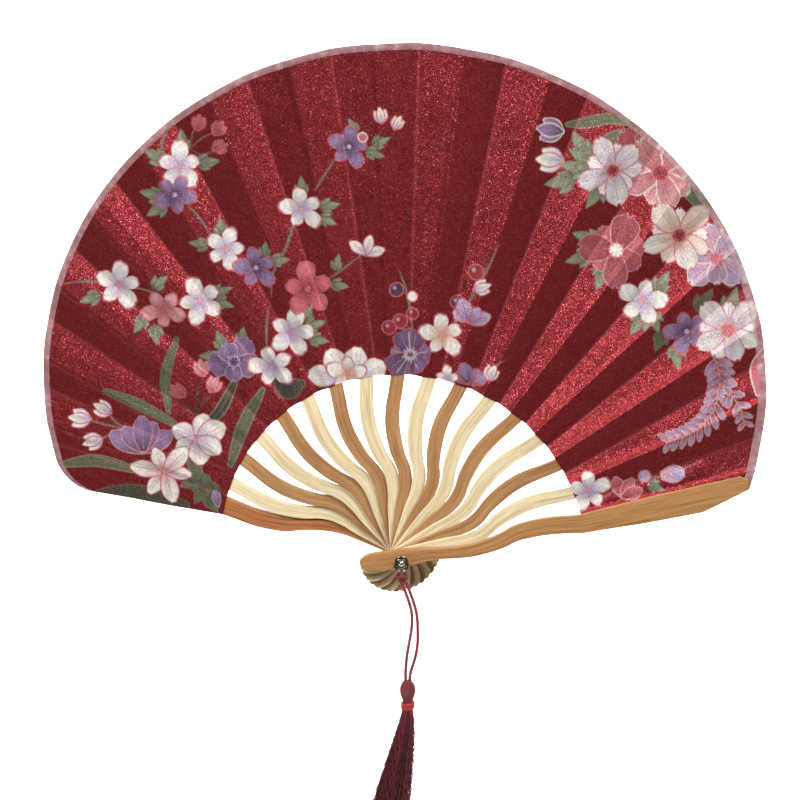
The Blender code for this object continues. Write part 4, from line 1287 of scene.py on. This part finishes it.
# (height, sideways, half width, half depth) down the skirt.
SKIRT = (
    (-0.0628, 0.0026, 0.0021, 0.0021), (-0.0680, 0.0022, 0.0031, 0.0028),
    (-0.0740, 0.0014, 0.0041, 0.0035), (-0.0820, 0.0000, 0.0053, 0.0041),
    (-0.0920, -0.0018, 0.0067, 0.0046), (-0.1030, -0.0037, 0.0079, 0.0050),
    (-0.1180, -0.0052, 0.0087, 0.0053), (-0.1320, -0.0060, 0.0090, 0.0054),
    (-0.1440, -0.0063, 0.0090, 0.0054),
)
SKIRT_TOP, SKIRT_END = -0.0630, -0.1443
SKIRT_FILL = 0.93  # the share of the skirt's width that the strands' middles fill
STRANDS, STRAND_RADIUS = 300, 0.00024
GOLDEN_SHARE = 0.61803399  # of a turn from strand to strand, which spreads them evenly


def cord_line(route, count):
    """Evenly spaced points on the smooth curve through a route."""
    route = np.array(route)
    at = run_along(route)
    s = np.linspace(0, at[-1], count)
    return np.stack([smooth(list(zip(at, route[:, i])), s) for i in range(3)], -1)


def twisted(line, radius, plies, pitch, sides=10):
    """Plies of yarn wound round a line. radius is that of the whole cord."""
    _, side, up = frame_along(line)
    ply = radius * 0.56
    made = []
    for i in range(plies):
        turn = 2 * math.pi * (run_along(line) / pitch + i / plies)
        offset = np.cos(turn)[:, None] * side + np.sin(turn)[:, None] * up
        made.append(tube(line + offset * (radius - ply), ply, sides))
    return made


def add_cords(yarn):
    for name, route in (("cord_left", CORD_LEFT), ("cord_right", CORD_RIGHT)):
        line = cord_line(route, 150)
        points, faces = joined(twisted(line, CORD_RADIUS * PLY_SPREAD, 2, CORD_PITCH))
        made = add_mesh(f"twisted_{name}", points, faces, yarn)
        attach(made, "tassel")
        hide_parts(name)


# Places from the knot's middle: a turn over the wire at its right, and the bar across in front.
KNOT_LOOP = (
    (0.0007, -0.0002, -0.0019), (0.0008, -0.0004, -0.0007), (0.0008, -0.0006, 0.0006),
    (0.0009, -0.0002, 0.0016), (0.0011, 0.0006, 0.0018), (0.0016, 0.0009, 0.0008),
    (0.0019, 0.0006, -0.0004), (0.0018, -0.0002, -0.0009),
)
KNOT_BAR = (
    (-0.0019, 0.0003, -0.0004), (-0.0017, -0.0006, -0.0003), (-0.0008, -0.0012, -0.0001),
    (0.0004, -0.0013, 0.0001), (0.0014, -0.0010, -0.0001), (0.0020, -0.0001, -0.0004),
)


def add_knot(yarn):
    """A lark's head on the ring: two turns over the wire with a bar across them in front."""
    middle = box_middle("cord_knot")
    loops = [[middle + np.array((side * x, y, z)) for x, y, z in KNOT_LOOP] for side in (-1, 1)]
    bar = [middle + np.array(place) for place in KNOT_BAR]
    tubes = []
    for route in (*loops, bar):
        tubes += twisted(cord_line(route, 60), KNOT_CORD_RADIUS, 2, KNOT_PITCH, 9)
    points, faces = joined(tubes)
    made = add_mesh("larks_head_knot", points, faces, yarn)
    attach(made, "tassel")
    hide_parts("cord_knot")


# (height, radius) up the wound head, and round the section of the ribbon below it.
HEAD = (
    (-0.0632, 0.0019), (-0.0597, 0.0020), (-0.0584, 0.0024), (-0.0568, 0.0029), (-0.0550, 0.0032),
    (-0.0532, 0.0029), (-0.0519, 0.0022), (-0.0511, 0.0012),
)
BAND = (
    (-0.0602, 0.0023), (-0.06015, 0.0025), (-0.0604, 0.00275), (-0.0610, 0.00285), (-0.0616, 0.00278),
    (-0.0622, 0.00286), (-0.0627, 0.00282), (-0.0629, 0.0027), (-0.0628, 0.00245), (-0.0622, 0.0023),
    (-0.0610, 0.0022), (-0.0603, 0.0022),
)
HEAD_TURNS = 25


def add_head(winding):
    """The tassel's head: yarn wound round a bead."""
    middle = np.array((TASSEL_X, TASSEL_Y, 0))
    heights = np.linspace(HEAD[-1][0], HEAD[0][0], 700)
    radius = smooth(HEAD, heights) - 0.0002
    turn = np.linspace(0, 2 * math.pi * HEAD_TURNS, len(heights))
    lean = 0.00012 * np.sin(3 * turn)
    line = middle + np.stack([radius * np.cos(turn), radius * np.sin(turn), heights + lean], -1)
    points, faces = joined([tube(line, 0.00030, 8)])
    bead_heights = np.linspace(HEAD[0][0], -0.0512, 22)
    bead = np.stack([bead_heights, np.maximum(smooth(HEAD, bead_heights) - 0.0003, 0.0004)], -1)
    core, core_faces = turned(bead, 28, middle, "Z")
    faces += [f + len(points) for f in core_faces]
    made = add_mesh("wound_head", np.concatenate([points, core]), faces, winding, 60)
    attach(made, "tassel")
    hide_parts("tassel_head")


def add_band(ribbon):
    """The folded ribbon round the tassel's neck, pinched into small pleats."""
    angles = np.linspace(0, 2 * math.pi, 72, endpoint=False)
    height, radius = np.array(BAND).T[:, :, None]
    pinch = 1 + 0.035 * np.sin(angles * 9) + 0.02 * np.sin(angles * 17 + 1)
    slant = 0.00035 * np.cos(angles - 0.6)
    r = radius * (1 + (pinch - 1)[None] * (radius > 0.0024))
    points = np.stack([r * np.cos(angles), r * np.sin(angles), height + slant[None]], -1).reshape(-1, 3)
    points += np.array((TASSEL_X, TASSEL_Y, 0))
    made = add_mesh("ribbon_band", points, [wall(len(BAND), len(angles), True, True)], ribbon, 60)
    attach(made, "tassel")
    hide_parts("tassel_band")


def add_skirt(look):
    """Some hundreds of crimped strands hanging from the band."""
    rng = np.random.default_rng(7)
    heights, shift, half_width, half_depth = np.array(SKIRT)[::-1].T
    tubes, shade = [], []
    for n in range(STRANDS):
        turn = 2 * math.pi * (n * GOLDEN_SHARE)
        out = math.sqrt(0.06 + 0.94 * (n + 0.5) / STRANDS)
        end = SKIRT_END + abs(rng.normal(0, 0.0022)) + 0.0006 * math.sin(turn)
        h = np.linspace(SKIRT_TOP, end, 64)
        share = (h - h[0]) / (end - h[0])
        wide, deep = (smooth(list(zip(heights, v)), h) for v in (half_width, half_depth))
        x = smooth(list(zip(heights, shift)), h) + wide * out * SKIRT_FILL * np.cos(turn)
        y = TASSEL_Y + deep * out * SKIRT_FILL * np.sin(turn)
        phase, pitch = rng.uniform(0, 6.28), rng.uniform(0.0036, 0.0062)
        crimp = 0.00042 * np.clip(share * 6, 0, 1) * rng.uniform(0.6, 1.25)
        run = 2 * math.pi * (h - h[0]) / pitch + phase
        x = x + crimp * np.sin(run) + 0.0009 * share * np.sin(share * 5 + phase)
        y = y + crimp * 0.6 * np.cos(run + 0.7)
        tubes.append(tube(np.stack([x, y, h], -1), STRAND_RADIUS * (1 - 0.25 * share), 5, phase))
        # Random tone per strand, scaled down towards the middle: painted shade on the inner strands, so only
        # outer ones reach the brightest red.
        shade.append(np.full(len(tubes[-1][0]), rng.uniform(0, 1) * (0.35 + 0.65 * out)))
    points, faces = joined(tubes)
    made = add_mesh("strand_skirt", points, faces, look, None, strand=np.concatenate(shade))
    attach(made, "tassel")
    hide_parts("tassel_skirt")


# ---------------------------------------------------------------- the set


def area_light(name, place, target, size, power):
    """A rectangular lamp at a place, turned towards its target."""
    data = bpy.data.lights.new(name, "AREA")
    data.shape = "RECTANGLE"
    data.size, data.size_y = size
    data.energy = power
    made = bpy.data.objects.new(name, data)
    bpy.context.scene.collection.objects.link(made)
    made.location = place
    away = np.array(place, float) - np.array(target, float)
    flat = math.hypot(away[0], away[1])
    made.rotation_euler = (math.atan2(flat, away[2]), 0, math.atan2(away[0], -away[1]))


def backdrop_mesh():
    """A floor that curves up into a wall behind."""
    turn = np.linspace(0, math.pi / 2, 24)
    y = np.concatenate([[-0.5], 3.0 + 2.0 * np.sin(turn), [5.0]])
    z = np.concatenate([[-0.6], 1.4 - 2.0 * np.cos(turn), [6.0]])
    x = np.array([-9.0, 9.0])
    points = np.array([(a, b, c) for b, c in zip(y, z) for a in x])
    i = np.arange(len(y) - 1) * 2
    return points, [np.stack([i, i + 1, i + 3, i + 2], -1)]


def add_set():
    """The backdrop, its light, the lights on the fan and the view."""
    floor_look = Look("pale_floor")
    floor_look.set(Base_Color=(0.90, 0.90, 0.90), Roughness=0.9)
    points, faces = backdrop_mesh()
    floor = add_mesh("backdrop", points, faces, floor_look.made)
    world = bpy.data.worlds.new("studio")
    world.use_nodes = True
    background = world.node_tree.nodes["Background"]
    background.inputs["Color"].default_value = (1.0, 1.0, 1.0, 1.0)
    background.inputs["Strength"].default_value = 0.05
    scene = bpy.context.scene
    scene.world = world
    area_light("key_left", (-0.90, -1.15, 1.15), (0, 0, 0.10), (0.6, 0.4), 34)
    area_light("key_right", (0.75, -1.12, 1.30), (0, 0, 0.10), (0.6, 0.4), 38)
    area_light("front", (0.25, -1.9, 0.60), (0, 0, 0.05), (0.8, 0.8), 3)
    area_light("backdrop_light", (0, 2.4, 2.6), (0, 5.0, 0.0), (7.0, 1.2), 620)
    data = bpy.data.cameras.new("view")
    data.lens, data.sensor_width = 109.8, 36.0
    camera = bpy.data.objects.new("view", data)
    scene.collection.objects.link(camera)
    camera.location = (-0.0006, -0.9695, 0.2978)
    camera.rotation_euler = (math.radians(76.5), 0, 0)
    scene.camera = camera
    scene.view_settings.view_transform = "Standard"


# The blades' kinds: a material's name, its pale, middle and dark colours, and its roughness.
WOODS = {
    "odd": ("pale_bamboo_wood", (0.74, 0.64, 0.43), (0.62, 0.50, 0.30), (0.42, 0.30, 0.15), 0.42),
    "even": ("brown_bamboo_wood", (0.44, 0.26, 0.115), (0.34, 0.17, 0.066), (0.19, 0.08, 0.028), 0.42),
    "rear_guard": ("dark_bamboo_wood", (0.45, 0.19, 0.075), (0.33, 0.12, 0.04), (0.18, 0.05, 0.018), 0.40),
    "front_guard": (
        "golden_bamboo_wood", (0.43, 0.23, 0.09), (0.34, 0.165, 0.056), (0.20, 0.08, 0.028), 0.38
    ),
}


def main():
    add_leaf(silk(), binding_cloth())
    add_blades({kind: bamboo(*wood) for kind, wood in WOODS.items()})
    steel = metal("worn_steel", (0.26, 0.25, 0.22), (0.46, 0.45, 0.42))
    aged = metal("aged_nickel", (0.07, 0.065, 0.05), (0.19, 0.18, 0.15))
    add_rivet(steel, aged)
    add_ring(aged)
    yarn = thread("dark_red_yarn", (0.070, 0.004, 0.006), (0.24, 0.012, 0.014))
    add_cords(yarn)
    add_knot(yarn)
    add_head(thread("wound_maroon_yarn", (0.070, 0.004, 0.007), (0.22, 0.012, 0.016)))
    even = (1.0, 1.0, 1.0)
    add_band(thread("red_satin_ribbon", (0.22, 0.008, 0.010), (0.44, 0.022, 0.024), 0.40, even, 0.2))
    add_skirt(strand_look())
    add_set()


main()
